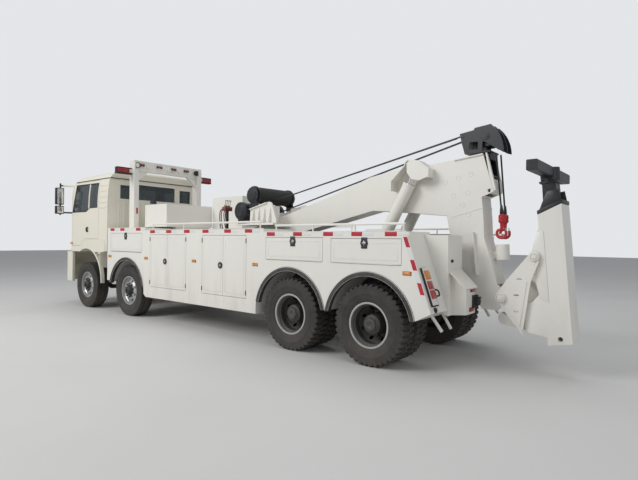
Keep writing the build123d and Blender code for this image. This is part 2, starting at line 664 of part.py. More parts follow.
def make_bumper():
    """Full-width bumper that wraps round to the front wheels, with steps and lamp housings."""
    low, high = 575, 1290
    plan = [
        (8565, -1235), (8565, 1235), (8780, 1235), ((8985, 1165), (9100, 960)),
        ((FRONT_END, 0), (9100, -960)), ((8985, -1165), (8780, -1235)),
    ]
    inside = [
        (8500, -1175), (8500, 1175), (8760, 1175), ((8940, 1112), (9040, 920)),
        ((9125, 0), (9040, -920)), ((8940, -1112), (8760, -1175)),
    ]
    body = flat_plate(plan, (low, high)) - flat_plate(inside, (low - 5, high + 5))
    body -= block((9140, FRONT_END + 5), (-1240, 1240), (low, low + 120))
    for y in (-880, 880):
        body -= block((8980, 9250), (y - 170, y + 170), (760, 940))
    lamp = block((8960, 9090), (720, 1040), (765, 935)) & flat_plate(inside, (low, high))
    lamp += block((8960, 8990), (720, 1060), (740, 960)) & flat_plate(plan, (low, high))
    stays = block((RAIL_FRONT + SEAT_GAP, 9125), (RAIL_OUTER - 90, RAIL_OUTER), (860, 1000))
    body += both_sides(lamp + stays)
    keep("front_bumper", body)


# Boom and mast
def boom_outline():
    return [
        (3345, 1560), (3330, 1500), (3230, 1500), (1413, 1905), (618, 2085), (362, 2068), (-589, 1978),
        (-630, 1757), (-840, 1120), (-1090, 745), (-1290, 745), (-1400, 860), (-1430, 925), (-1400, 985),
        (-1285, 1073), (-1206, 1363), (-1110, 1669), (-1096, 1958), (-1071, 2213), (-1225, 2273),
        (-1096, 2730), (-1081, 2781), (-690, 2735), (-327, 2700), (247, 2674), (672, 2602), (1419, 2351),
        (3320, 1830), (3345, 1790),
    ]


def cavity_outline():
    """The boom box's inside, clear of its top and bottom plates."""
    return [
        (3080, 1575), (1413, 1930), (618, 2110), (362, 2093), (-612, 2003), (-655, 1757), (-865, 1110),
        (-700, 1110), (-700, 735), (-1500, 735), (-1500, 1073), (-1255, 1073), (-1181, 1363), (-1085, 1669),
        (-1071, 1958), (-1046, 2213), (-1300, 2273), (-1300, 2730), (-1096, 2756), (-690, 2710),
        (-327, 2675), (240, 2649), (665, 2578), (1412, 2326), (3080, 1868),
    ]


SLIDE = (-cos(radians(SLIDE_SLOPE)), sin(radians(SLIDE_SLOPE)))
SLIDE_TOP = (-1150, 2722)
SLIDE_DEPTH = 250
SLIDE_LENGTH = 2500
SLIDE_HALF = 125


def along_slide(distance, drop):
    """A point that far along the extension's axis, and that far below its top face."""
    return (SLIDE_TOP[0] - SLIDE[0] * distance - SLIDE[1] * drop, SLIDE_TOP[1] - SLIDE[1] * distance
            + SLIDE[0] * drop)


def make_boom():
    half = BOOM_HALF
    boom = side_plate(boom_outline(), (-half, half))
    boom -= side_plate(cavity_outline(), (-half + BOOM_PLATE, half - BOOM_PLATE))
    boom -= pin_across(BOOM_PIVOT, (-half - 5, half + 5), PIVOT_RADIUS + RUNNING_GAP)
    boom += both_sides(pin_across(FOLD_PIN, (half - 5, KNUCKLE_Y[0] - 4), 78))
    boom -= pin_across(FOLD_PIN, (-KNUCKLE_Y[0], KNUCKLE_Y[0]), 36)
    boom -= pin_across((-1171, 2292), (-half - 5, half + 5), 24)
    cheek = side_plate([(3059, 1880), (3040, 2176), (2611, 2280), ((2545, 2282), (2500, 2245)), (2385, 1960),
                        (2385, 1880)], WINCH_CHEEK)
    cheek += side_plate([(3040, 2162), (3040, 2176), (2611, 2280), (2611, 2266)], (WINCH_CHEEK[1] - 5, 520))
    for x in (2520, 2660, 2800, 2940):
        low = WINCH_CHEEK[1] - 5
        cheek += cross_plate([(low, 1900), (560, 1900), (495, 2185), (low, 2185)], (x, x + 18))
    platform = block((2385, 3430), (half - 10, WINCH_CHEEK[1]), (1880, 1915))
    platform += block((2385, 3060), (WINCH_CHEEK[1] - 5, 565), (1880, 1915))
    platform += block((3090, 3430), (0, half), (1880, 1915))
    ribs = [side_plate([(x, 1900), (x + 22, 1900), (x + 22, top), (x, top)],
                       (half - 10, WINCH_CHEEK[0] + 10)) for x, top in ((2620, 2228), (2960, 2146))]
    mast_rib = side_plate([(-979, 1750), (-962, 1750), (-1020, 1187), (-1038, 1187)], (half - 5, half + 55))
    hood = side_plate([(210, 2350), (210, 2495), (-20, 2708), ((-45, 2770), (-110, 2775)), (-243, 2750),
                       (-399, 2628), (-391, 2507), (-375, 2507), (-382, 2620), (-237, 2733), (-108, 2758),
                       ((-55, 2752), (-30, 2695)), (194, 2488), (194, 2350)], (half - 5, LIFT_Y + 76))
    hood += side_plate([(-58, 2730), (-110, 2768), (-243, 2745), (-393, 2624), (-385, 2515), (-250, 2470),
                        (-130, 2500), (-60, 2600)], (LIFT_Y + 55, LIFT_Y + 76))
    boss = both_sides(pin_across(LIFT_HEAD, (half - 5, LIFT_Y - 55), 58))
    boom += both_sides(cheek + platform + ribs + mast_rib + hood) + boss
    top_flange = side_plate([(-1084, 2783), (-690, 2737), (-690, 2723), (-1088, 2767)], (half - 5, half + 22))
    seam = side_plate([(-1092, 2082), (-660, 1963), (-658, 1951), (-1094, 2070)], (half - 5, half + 4))
    boom += both_sides(top_flange + seam)
    cup = bar((-1300, 0, 1390), (-1290, 0, 1590), 85) - bar((-1299, 0, 1430), (-1290, 0, 1600), 72)
    cup += block((-1240, -1160), (-40, 40), (1400, 1500))
    hx, hz = STOW_BAR
    stow = pin_across(STOW_BAR, (-115, 115), STOW_RADIUS) + block((hx, -1100), (-11, 11), (hz - 13, hz + 13))
    collar = both_sides(side_plate([(-1112, 2790), (-1132, 2790), (-1252, 2300), (-1200, 2300)],
                                   (SLIDE_HALF + RUNNING_GAP, half - 5)))
    collar += side_plate([(-1195, 2440), (-1219, 2440), (-1252, 2300), (-1180, 2250)], (5 - half, half - 5))
    boom += [cup, stow, collar]
    keep("boom", boom)


def make_winches():
    """Two rope drums with their cheeks and motors, and the tight ropes to the boom's head."""
    lower = pin_across((3295, 2148), (-440, 440), DRUM_RADIUS)
    lower += both_sides(pin_across((3295, 2148), (430, 500), 165))
    frame = both_sides(block((3180, 3420), (330, 450), (1915 + SEAT_GAP, 2060)))
    upper = pin_across((2990, 2430), (-430, 430), DRUM_RADIUS)
    upper += both_sides(pin_across((2990, 2430), (420, WINCH_CHEEK[0]), 165))
    stand = both_sides(side_plate([(2860, 2220.1), (3035, 2177.7), (3060, 2440), (2920, 2440)], WINCH_CHEEK))
    motor = both_sides(pin_across((3440, 2148), (300, 430), 70))
    rope_high = bar((2990, ROPE_Y, 2310), (-690, ROPE_Y, 3040), ROPE_RADIUS)
    rope_low = bar((3295, -ROPE_Y, 2028), (-690, -ROPE_Y, 3020), ROPE_RADIUS)
    keep("winches", lower + frame + upper + stand + motor + rope_low + rope_high)


def make_extension():
    """Inner boom with the sheave head on its end."""
    tube = side_plate([along_slide(0, 0), along_slide(SLIDE_LENGTH, 0),
                       along_slide(SLIDE_LENGTH, SLIDE_DEPTH), along_slide(0, SLIDE_DEPTH)],
                      (-SLIDE_HALF, SLIDE_HALF))
    inner = side_plate([along_slide(-5, 20), along_slide(SLIDE_LENGTH + 5, 20),
                        along_slide(SLIDE_LENGTH + 5, SLIDE_DEPTH - 20), along_slide(-5, SLIDE_DEPTH - 20)],
                       (-SLIDE_HALF + 16, SLIDE_HALF - 16))
    tube -= inner
    cheek = [(-762, 3080), (-792, 2950), (-835, 2796), (-1068, 2796), (-1074, 2942), (-1104, 2937),
             (-1286, 2807), (-1345, 2788), ((-1297, 2997), (-1180, 3156)), (-969, 3134), (-955, 3106)]
    window = [(-905, 2950), (-890, 2850), (-1010, 2845), (-1015, 2945)]
    outer = (SHEAVE_CHEEK - 20, SHEAVE_CHEEK)
    sides = [side_plate(cheek, y) - side_plate(window, y) for y in (outer, (-8, 8), (-outer[1], -outer[0]))]
    sheaves = []
    for y in (-ROPE_Y, ROPE_Y):
        grooved = turned([(-30, 0), (-30, SHEAVE_RADIUS), (-22, SHEAVE_RADIUS), (-12, GROOVE_RADIUS),
                          (12, GROOVE_RADIUS), (22, SHEAVE_RADIUS), (30, SHEAVE_RADIUS), (30, 0)])
        wrap = turned([(-ROPE_RADIUS, GROOVE_RADIUS - 5), (-ROPE_RADIUS, GROOVE_RADIUS + 2 * ROPE_RADIUS),
                       (ROPE_RADIUS, GROOVE_RADIUS + 2 * ROPE_RADIUS), (ROPE_RADIUS, GROOVE_RADIUS - 5)])
        wrap = wrap & block((-200, 40), (-20, 20), (0, 200))
        sheaves.append(Pos(SHEAVE[0], y, SHEAVE[1]) * (grooved + wrap))
    axle = pin_across(SHEAVE, (-SHEAVE_CHEEK - 14, SHEAVE_CHEEK + 14), 30)
    axle += both_sides(pin_across(SHEAVE, (SHEAVE_CHEEK - 2, SHEAVE_CHEEK + 8), 52))
    axle += pin_across((-800, 3040), (-SHEAVE_CHEEK - 6, SHEAVE_CHEEK + 6), 22)
    base = block((-1175, -838), (-SHEAVE_CHEEK + 5, SHEAVE_CHEEK - 5), (2797, 2817))
    neck = side_plate([(-1108, 2700), (-1108, 2810), (-1175, 2810), (-1180, 2700)],
                      (10 - SLIDE_HALF, SLIDE_HALF - 10))
    keep("boom_extension", tube + sides + sheaves + axle + base + neck)


def make_tackle():
    """Hoist ropes that hang from the head, and the hook blocks stowed on the mast's bar."""
    hx, hz = STOW_BAR
    ring_z = hz + 33 - STOW_RADIUS - RUNNING_GAP
    ropes = []
    blocks = []
    for y in (-ROPE_Y, ROPE_Y):
        low = (hx + 2, y * 0.75, 1988)
        ropes.append(bar((SHEAVE[0] - GROOVE_RADIUS - ROPE_RADIUS, y, 2785), low, ROPE_RADIUS))
        blocks.append(bar((hx + 2, low[1], 1986.9), (hx, low[1], 1880), 42))
        blocks.append(bar((hx, low[1], 1885), (hx, low[1], ring_z + 45), 20))
        blocks.append(Plane(origin=(hx, low[1], ring_z), z_dir=(0, 1, 0)) * Torus(52, 19))
    keep("hoist_ropes", Part() + ropes)
    keep("hooks", Part() + blocks)


def make_lift():
    """Lifting cylinders: barrels on the frame, rods that reach the boom."""
    base = Vector(LIFT_BASE[0], LIFT_Y, LIFT_BASE[1])
    head = Vector(LIFT_HEAD[0], LIFT_Y, LIFT_HEAD[1])
    axis = (head - base).normalized()
    mouth = base + axis * 1235
    barrel = bar(tuple(base + axis * 155), tuple(mouth), BARREL_RADIUS)
    barrel += bar(tuple(base), tuple(base + axis * 160), 42)
    eye = pin_across(LIFT_BASE, (LIFT_Y - 48 + RUNNING_GAP, LIFT_Y + 48 - RUNNING_GAP), 68)
    gland = bar(tuple(mouth), tuple(mouth + axis * 25), BARREL_RADIUS + 6)
    bore = bar(tuple(base + axis * 175), tuple(mouth + axis * 30), ROD_RADIUS + RUNNING_GAP)
    keep("lift_barrels", both_sides(barrel + eye + gland - bore))
    rod = bar(tuple(base + axis * 180), tuple(head - axis * 38), ROD_RADIUS)
    eye = pin_across(LIFT_HEAD, (LIFT_Y - 45, LIFT_Y + 45), EYE_RADIUS)
    eye -= pin_across(LIFT_HEAD, (LIFT_Y - 50, LIFT_Y + 50), 24)
    keep("lift_rods", both_sides(rod + eye))


# Underlift
ARM_UP = (sin(radians(ARM_LEAN)), cos(radians(ARM_LEAN)))
ARM_FOOT = (-2167, 440)
ARM_DEPTH = 272
ARM_HALF = 205
INNER_HALF = 150
TONGUE_HALF = BOOM_HALF - BOOM_PLATE - 7
SWIVEL_BASE = 300
CROSSBAR_HALF = 790


def on_arm(height, depth):
    """A point that far up the arm from its foot, and that far in front of its rear face."""
    return (ARM_FOOT[0] + ARM_UP[0] * height + ARM_UP[1] * depth,
            ARM_FOOT[1] + ARM_UP[1] * height - ARM_UP[0] * depth)


def slot(x, z, y):
    """A short round-ended slot through a knuckle plate, where it is welded to the spacer behind."""
    return side_plate([(x - 22, z - 9), ((x - 31, z), (x - 22, z + 9)),
                       (x + 22, z + 9), ((x + 31, z), (x + 22, z - 9))], y)


def make_underlift():
    knuckle_plate = [(-1378, 784), (-1634, 465), (-1607, 548), (-1690, 1150), (-1800, 1430),
                     ((-1806, 1480), (-1752, 1515)), ((-1712, 1508), (-1690, 1478)), (-1425, 1149),
                     (-1330, 1010), ((-1296, 950), (-1300, 883))]
    low, high = KNUCKLE_Y
    plate = side_plate(knuckle_plate, KNUCKLE_Y)
    for x, z in ((-1578, 1167), (-1546, 967), (-1548, 766)):
        plate -= slot(x, z, (low - 5, high + 5))
    flange = side_plate([(-1607, 548), (-1690, 1150), (-1800, 1440), (-1800, 1380), (-1712, 1140),
                         (-1627, 548)], (low, high + 14))
    doubler = side_plate([(-1400, 815), (-1590, 585), (-1668, 1140), (-1560, 1140), (-1440, 1030)],
                         (high - 2, high + 6))
    for x, z in ((-1578, 1167), (-1546, 967), (-1548, 766)):
        doubler -= slot(x, z, (high - 5, high + 10))
    pins = [pin_across(FOLD_PIN, (-300, 300), 35), pin_across(TILT_PIN, (-275, 275), 35)]
    bosses = both_sides(pin_across(FOLD_PIN, (high, high + 40), 63)
                        + pin_across(TILT_PIN, (high, high + 18), 58))
    tie = bar((-1560, -230, 1130), (-1560, 230, 1130), 30)
    keep("underlift_knuckle", pins[0] + both_sides(plate + flange + doubler) + pins[1] + bosses + tie)

    height = 1650
    column = side_plate([on_arm(0, 0), on_arm(height, 0), on_arm(height - 105, ARM_DEPTH),
                         on_arm(0, ARM_DEPTH)], (-ARM_HALF, ARM_HALF))
    sole = side_plate([(-1905, 393), (-2160, 439), (-2100, 560), (-1893, 700), (-1760, 700), (-1378, 690),
                       (-1330, 720), ((-1288, 655), (-1330, 575)), (-1674, 522), (-1893, 484)],
                      (-TONGUE_HALF, TONGUE_HALF))
    front = side_plate([(-1767, 1760), (-1837, 1900), (-1900, 1900), (-1909, 600), (-1810, 600), (-1795, 986),
                        (-1757, 1145), (-1700, 1400), (-1700, 1490), (-1750, 1530)], (-ARM_HALF, ARM_HALF))
    foot = side_plate([(-1896, 386), (-2163, 438), (-2120, 560), (-1896, 560)], (-ARM_HALF, ARM_HALF))
    web = both_sides(side_plate([(-1900, 484), (-1640, 520), (-1640, 860), (-1727, 898), (-1795, 986),
                                 (-1900, 1100)], (ARM_HALF - 25, ARM_HALF)))
    bore = side_plate([on_arm(200, 40), on_arm(height + 50, 40), on_arm(height + 50, ARM_DEPTH - 30),
                       on_arm(200, ARM_DEPTH - 30)], (-INNER_HALF - RUNNING_GAP, INNER_HALF + RUNNING_GAP))
    arm = column + front + sole + foot + web - bore
    arm -= pin_across((-2035, 480), (-ARM_HALF - 5, ARM_HALF + 5), 28)
    arm -= pin_across(TILT_PIN, (-300, 300), 35 + RUNNING_GAP)
    keep("underlift_arm", arm)

    inner = side_plate([on_arm(205, 44), on_arm(height + 45, 44), on_arm(height - 40, ARM_DEPTH - 34),
                        on_arm(205, ARM_DEPTH - 34)], (-INNER_HALF, INNER_HALF))
    middle = (44 + ARM_DEPTH - 34) / 2
    base = height + SWIVEL_BASE
    stem = side_plate([on_arm(height - 60, middle - 82), on_arm(height - 60, middle + 82),
                       on_arm(base - 20, middle + 76), on_arm(base - 20, middle - 76)], (-110, 110))
    stem += side_plate([on_arm(base - 26, middle - 100), on_arm(base - 26, middle + 100),
                        on_arm(base, middle + 108), on_arm(base, middle - 108)], (-124, 124))
    keep("underlift_extension", inner + stem)

    seat = on_arm(base + RUNNING_GAP, middle)
    crown = on_arm(base + 165, middle)
    swivel = bar((seat[0], 0, seat[1]), (crown[0], 0, crown[1]), 112)
    beam_centre = on_arm(base + 109, middle)
    beam = block((beam_centre[0] - 62, beam_centre[0] + 62), (-CROSSBAR_HALF, CROSSBAR_HALF),
                 (beam_centre[1] - 62, beam_centre[1] + 62))
    keep("crossbar", swivel + chamfer(beam.edges().filter_by(Axis.Y), 10))


def main():
    make_wheels()
    make_axles()
    make_chassis()
    make_lockers()
    make_doors()
    make_deck()
    make_gantry()
    make_cab()
    make_bumper()
    make_boom()
    make_winches()
    make_extension()
    make_lift()
    make_underlift()
    make_tackle()
    os.makedirs("parts", exist_ok=True)
    for node, shape in NODES.items():
        export_step(shape.moved(Location((-MIDDLE, 0, 0))), f"parts/{node}.step")
    print(len(NODES), "nodes")


main()
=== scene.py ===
import math

import bmesh
import bpy
from mathutils import Matrix, Vector


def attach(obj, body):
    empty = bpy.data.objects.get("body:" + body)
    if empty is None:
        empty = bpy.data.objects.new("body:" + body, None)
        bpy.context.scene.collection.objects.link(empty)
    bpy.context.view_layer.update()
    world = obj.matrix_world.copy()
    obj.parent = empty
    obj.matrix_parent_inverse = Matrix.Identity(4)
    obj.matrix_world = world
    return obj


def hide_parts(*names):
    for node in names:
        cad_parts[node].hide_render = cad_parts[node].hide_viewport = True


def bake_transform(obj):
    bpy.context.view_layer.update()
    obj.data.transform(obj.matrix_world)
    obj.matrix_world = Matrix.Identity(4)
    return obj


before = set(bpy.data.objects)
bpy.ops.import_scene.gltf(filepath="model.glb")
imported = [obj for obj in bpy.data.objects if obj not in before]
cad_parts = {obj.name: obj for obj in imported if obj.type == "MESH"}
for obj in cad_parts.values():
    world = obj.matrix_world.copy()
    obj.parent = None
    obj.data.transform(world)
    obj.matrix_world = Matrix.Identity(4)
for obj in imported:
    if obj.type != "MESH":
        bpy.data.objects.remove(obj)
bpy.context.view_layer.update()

# Places are given in metres from the ground below the rearmost axle, as in the part's drawing:
# x forwards, y to the left, z up. REAR_AXLE_X is that axle's x in the frame.
REAR_AXLE_X = -3.5165
HUB_HEIGHT = 0.53
AXLES = {"axle1": 7.89, "axle2": 6.003, "axle3": 1.373, "axle4": 0.0}
SIDES = (("left", 1), ("right", -1))
CAB_SIDE = 1.225
BOOM_SIDE = 0.17
ROPE_Y = 0.09


def at(x, y, z):
    return Vector((x + REAR_AXLE_X, y, z))


# Finishes
class Number:
    """A number that varies over a surface. Sums on it add Math nodes."""

    def __init__(self, finish, socket):
        self.finish = finish
        self.socket = socket

    def sum(self, operation, first, *others):
        values = dict(enumerate((first, *others)))
        return self.finish.number(self.finish.add("ShaderNodeMath", {"operation": operation}, values))

    def __add__(self, other):
        return self.sum("ADD", self, other)

    def __rsub__(self, other):
        return self.sum("SUBTRACT", other, self)

    def __mul__(self, other):
        return self.sum("MULTIPLY", self, other)

    __radd__ = __add__
    __rmul__ = __mul__

    def above(self, low, high):
        """0 below low and 1 above high, with a straight ramp between."""
        ramp = self.finish.add("ShaderNodeMapRange", {"clamp": True},
                               {"Value": self, "From Min": low, "From Max": high})
        return self.finish.number(ramp)

    def power(self, exponent):
        return self.sum("POWER", self, exponent)


class Finish:
    """A material, its shader, and the nodes that vary it over the surface."""

    def __init__(self, name, colour, roughness=0.5, metallic=0.0, **fixed):
        self.material = bpy.data.materials.new(name)
        self.material.use_nodes = True
        self.tree = self.material.node_tree
        self.shader = self.tree.nodes["Principled BSDF"]
        self.shader.inputs["Base Color"].default_value = (*colour, 1.0)
        self.shader.inputs["Roughness"].default_value = roughness
        self.shader.inputs["Metallic"].default_value = metallic
        for socket, value in fixed.items():
            self.shader.inputs[socket.replace("_", " ")].default_value = value
        self.place = self.add("ShaderNodeTexCoord", {}, {}).outputs["Object"]

    def add(self, kind, settings, values):
        node = self.tree.nodes.new(kind)
        for name, value in settings.items():
            setattr(node, name, value)
        for name, value in values.items():
            if isinstance(value, Number):
                value = value.socket
            if isinstance(value, bpy.types.NodeSocket):
                self.tree.links.new(value, node.inputs[name])
            else:
                node.inputs[name].default_value = value
        return node

    def number(self, node, output=0):
        return Number(self, node.outputs[output])

    def height(self):
        """How high the place on the surface lies."""
        return self.number(self.add("ShaderNodeSeparateXYZ", {}, {0: self.place}), 2)

    def stretched(self, scale):
        """The place on the surface, scaled by its own amount along each axis."""
        return self.add("ShaderNodeMapping", {}, {"Vector": self.place, "Scale": scale}).outputs[0]

    def noise(self, scale, detail=3.0, place=None):
        values = {"Vector": place or self.place, "Scale": scale, "Detail": detail}
        return self.number(self.add("ShaderNodeTexNoise", {}, values))

    def spots(self, scale):
        """Distance to the nearest cell's middle."""
        values = {"Vector": self.place, "Scale": scale}
        return self.number(self.add("ShaderNodeTexVoronoi", {}, values))

    def waves(self, scale, direction):
        values = {"Vector": self.place, "Scale": scale}
        return self.number(self.add("ShaderNodeTexWave", {"bands_direction": direction}, values))

    def mixed(self, share, first, second):
        """A colour that goes from the first to the second with the share."""
        first = (*first, 1.0) if isinstance(first, tuple) else first
        second = (*second, 1.0) if isinstance(second, tuple) else second
        # a Mix node set to colour takes its colours at sockets 6 and 7 and gives its result at 2
        return self.add("ShaderNodeMix", {"data_type": "RGBA"}, {0: share, 6: first, 7: second}).outputs[2]

    def feed(self, socket, value):
        if isinstance(value, Number):
            value = value.socket
        self.tree.links.new(value, self.shader.inputs[socket])

    def coloured(self, share, first, second):
        self.feed("Base Color", self.mixed(share, first, second))

    def relief(self, height, depth, edge=0.0):
        """Bumps as deep as the depth in metres, over edges rounded by the edge's radius."""
        values = {"Height": height, "Distance": depth, "Strength": 1.0}
        if edge:
            values["Normal"] = self.add("ShaderNodeBevel", {"samples": 4}, {"Radius": edge}).outputs[0]
        self.feed("Normal", self.add("ShaderNodeBump", {}, values).outputs[0])


ROAD_DUST = (0.36, 0.32, 0.27)
RUBBER = (0.03, 0.029, 0.028)
OLD_RUBBER = (0.035, 0.034, 0.033)


def shaded(colour, share):
    return tuple(value * share for value in colour)


def paint(name, colour, roughness=0.3, dust=0.35, edge=0.004):
    """Sprayed enamel: slightly uneven tone, orange peel, and road dust that thins out upwards."""
    finish = Finish(name, colour, roughness)
    broad = finish.noise(0.9, 4.0)
    streaks = finish.noise(6.0, 5.0, finish.stretched((1.0, 1.0, 0.22)))
    low = (1.0 - finish.height().above(0.35, 1.5)).power(1.6)
    film = low * dust * streaks.above(0.25, 0.75)
    tone = finish.mixed(broad.above(0.3, 0.7) * 0.5, colour, shaded(colour, 0.93))
    finish.coloured(film + streaks.above(0.55, 0.85) * 0.06, tone, ROAD_DUST)
    finish.feed("Roughness", film * 0.4 + broad * 0.12 + (roughness - 0.05))
    finish.relief(finish.noise(140.0, 2.0), 0.00025, edge)
    return finish


def worn_black(name, colour=(0.022, 0.023, 0.025), roughness=0.42):
    """Black machine paint with dull scuffs and a little dust."""
    finish = Finish(name, colour, roughness)
    scuffs = finish.noise(14.0, 8.0).above(0.56, 0.74)
    broad = finish.noise(2.2, 4.0)
    worn = finish.mixed(scuffs * 0.35, colour, (0.11, 0.105, 0.1))
    finish.coloured(broad.above(0.5, 0.8) * 0.25, worn, (0.08, 0.075, 0.07))
    finish.feed("Roughness", scuffs * 0.25 + broad * 0.2 + (roughness - 0.1))
    finish.relief(finish.noise(160.0, 3.0), 0.0003, 0.004)
    return finish


def tyre_rubber():
    """Tyre rubber, greyer with road grime towards the ground."""
    finish = Finish("tyre_rubber", RUBBER, 0.85)
    grime = finish.noise(7.0, 6.0).above(0.35, 0.8)
    low = 1.0 - finish.height().above(0.05, 0.6)
    finish.coloured(grime * 0.3 + low * 0.22, RUBBER, (0.15, 0.125, 0.1))
    finish.feed("Roughness", grime * 0.15 + 0.72)
    finish.relief(finish.noise(220.0, 4.0), 0.0006)
    return finish


def arch_rubber(name):
    finish = Finish(name, OLD_RUBBER, 0.62)
    dust = finish.noise(9.0, 5.0).above(0.4, 0.8)
    finish.coloured(dust * 0.35, OLD_RUBBER, (0.16, 0.14, 0.12))
    finish.relief(finish.noise(260.0, 3.0), 0.0004)
    return finish


def rim_metal(name, colour, metallic, roughness):
    finish = Finish(name, colour, roughness, metallic)
    stains = finish.noise(11.0, 6.0).above(0.45, 0.75)
    dust = tuple(c * 0.5 + 0.06 for c in colour)
    finish.coloured(stains * 0.45, colour, dust)
    finish.feed("Roughness", stains * 0.3 + roughness)
    finish.relief(finish.noise(190.0, 3.0), 0.0003, 0.002)
    return finish


def lens(name, colour):
    """Moulded lamp plastic with fine vertical flutes."""
    finish = Finish(name, colour, 0.16, Coat_Weight=0.6)
    flutes = finish.waves(28.0, "Z")
    finish.coloured(flutes * 0.35, colour, shaded(colour, 0.45))
    finish.relief(flutes, 0.0012)
    return finish


def tape(name, colour):
    """Reflective tape with its fine net of cells."""
    finish = Finish(name, colour, 0.35, Coat_Weight=0.4)
    cells = finish.spots(190.0).above(0.25, 0.5)
    finish.coloured(cells * 0.3, colour, shaded(colour, 0.7))
    finish.relief(cells, 0.0002)
    return finish


def window_glass():
    finish = Finish("window_glass", (0.18, 0.21, 0.22), 0.03, Transmission_Weight=0.85, IOR=1.45)
    smears = finish.noise(5.0, 5.0).above(0.45, 0.8)
    finish.feed("Roughness", smears * 0.08 + 0.02)
    return finish


def polished_steel(name, colour, roughness):
    finish = Finish(name, colour, roughness, 1.0)
    streaks = finish.noise(60.0, 4.0, finish.stretched((1.0, 6.0, 1.0)))
    finish.feed("Roughness", streaks * 0.15 + roughness)
    finish.relief(streaks, 0.0002)
    return finish


def wire_rope():
    """Greased wire rope: strands laid round it at a slant."""
    finish = Finish("wire_rope", OLD_RUBBER, 0.55, 0.4)
    lay = finish.waves(36.0, "DIAGONAL")
    finish.coloured(lay, (0.018, 0.018, 0.018), (0.09, 0.088, 0.085))
    finish.relief(lay, 0.003)
    return finish


def trim_plastic(name, colour, roughness=0.6):
    finish = Finish(name, colour, roughness)
    grain = finish.spots(420.0)
    finish.coloured(finish.noise(4.0, 4.0) * 0.3, colour, shaded(colour, 1.6))
    finish.feed("Roughness", grain * 0.15 + roughness)
    finish.relief(grain, 0.0003, 0.003)
    return finish


BODY_WHITE = (0.82, 0.797, 0.735)
CAB_CREAM = (0.8, 0.762, 0.65)

body_paint = paint("body_paint", BODY_WHITE)
cab_paint = paint("cab_paint", CAB_CREAM, edge=0.01)
boom_paint = paint("boom_paint", BODY_WHITE, 0.34, edge=0.003)
hook_paint = paint("hook_paint", (0.5, 0.02, 0.025), 0.3, dust=0.1)
oxide_paint = paint("oxide_paint", (0.2, 0.055, 0.04), 0.45, dust=0.1)
frame_black = worn_black("frame_black")
winch_black = worn_black("winch_black", (0.018, 0.019, 0.022), 0.38)
engine_grey = worn_black("engine_grey", (0.09, 0.09, 0.095), 0.55)
tread_rubber = tyre_rubber()
edge_rubber = arch_rubber("arch_rubber")
hose_rubber = arch_rubber("hose_rubber")
silver_rim = rim_metal("silver_rim", (0.52, 0.52, 0.51), 0.75, 0.32)
dark_rim = rim_metal("dark_rim", (0.075, 0.07, 0.065), 0.2, 0.5)
hub_black = rim_metal("hub_black", (0.03, 0.03, 0.03), 0.1, 0.45)
red_lens = lens("red_lens", (0.42, 0.012, 0.015))
amber_lens = lens("amber_lens", (0.75, 0.25, 0.02))
clear_lens = lens("clear_lens", (0.72, 0.73, 0.72))
red_tape = tape("red_tape", (0.52, 0.012, 0.028))
white_tape = tape("white_tape", (0.8, 0.79, 0.77))
glass = window_glass()
rod_chrome = polished_steel("rod_chrome", (0.72, 0.72, 0.71), 0.12)
bare_steel = polished_steel("bare_steel", (0.42, 0.41, 0.4), 0.35)
rope_wire = wire_rope()
black_trim = trim_plastic("black_trim", (0.02, 0.02, 0.021))
cab_trim = trim_plastic("cab_trim", (0.075, 0.075, 0.08), 0.7)


# Shaping. Edges bent by more than SHARP_DEGREES stay sharp, and a rod's rims by more than RIM_ANGLE
# in radians. FORWARDS and UPWARDS say how a turned outline stands, where it isn't across the truck.
SHARP_DEGREES = 38.0
RIM_ANGLE = 1.2
FORWARDS = {"axis": (1, 0, 0), "out": (0, 0, 1)}
UPWARDS = {"axis": (0, 0, 1), "out": (1, 0, 0)}


def raised(degrees):
    """A direction in the side view, so many degrees up from straight ahead."""
    return math.cos(math.radians(degrees)), 0, math.sin(math.radians(degrees))


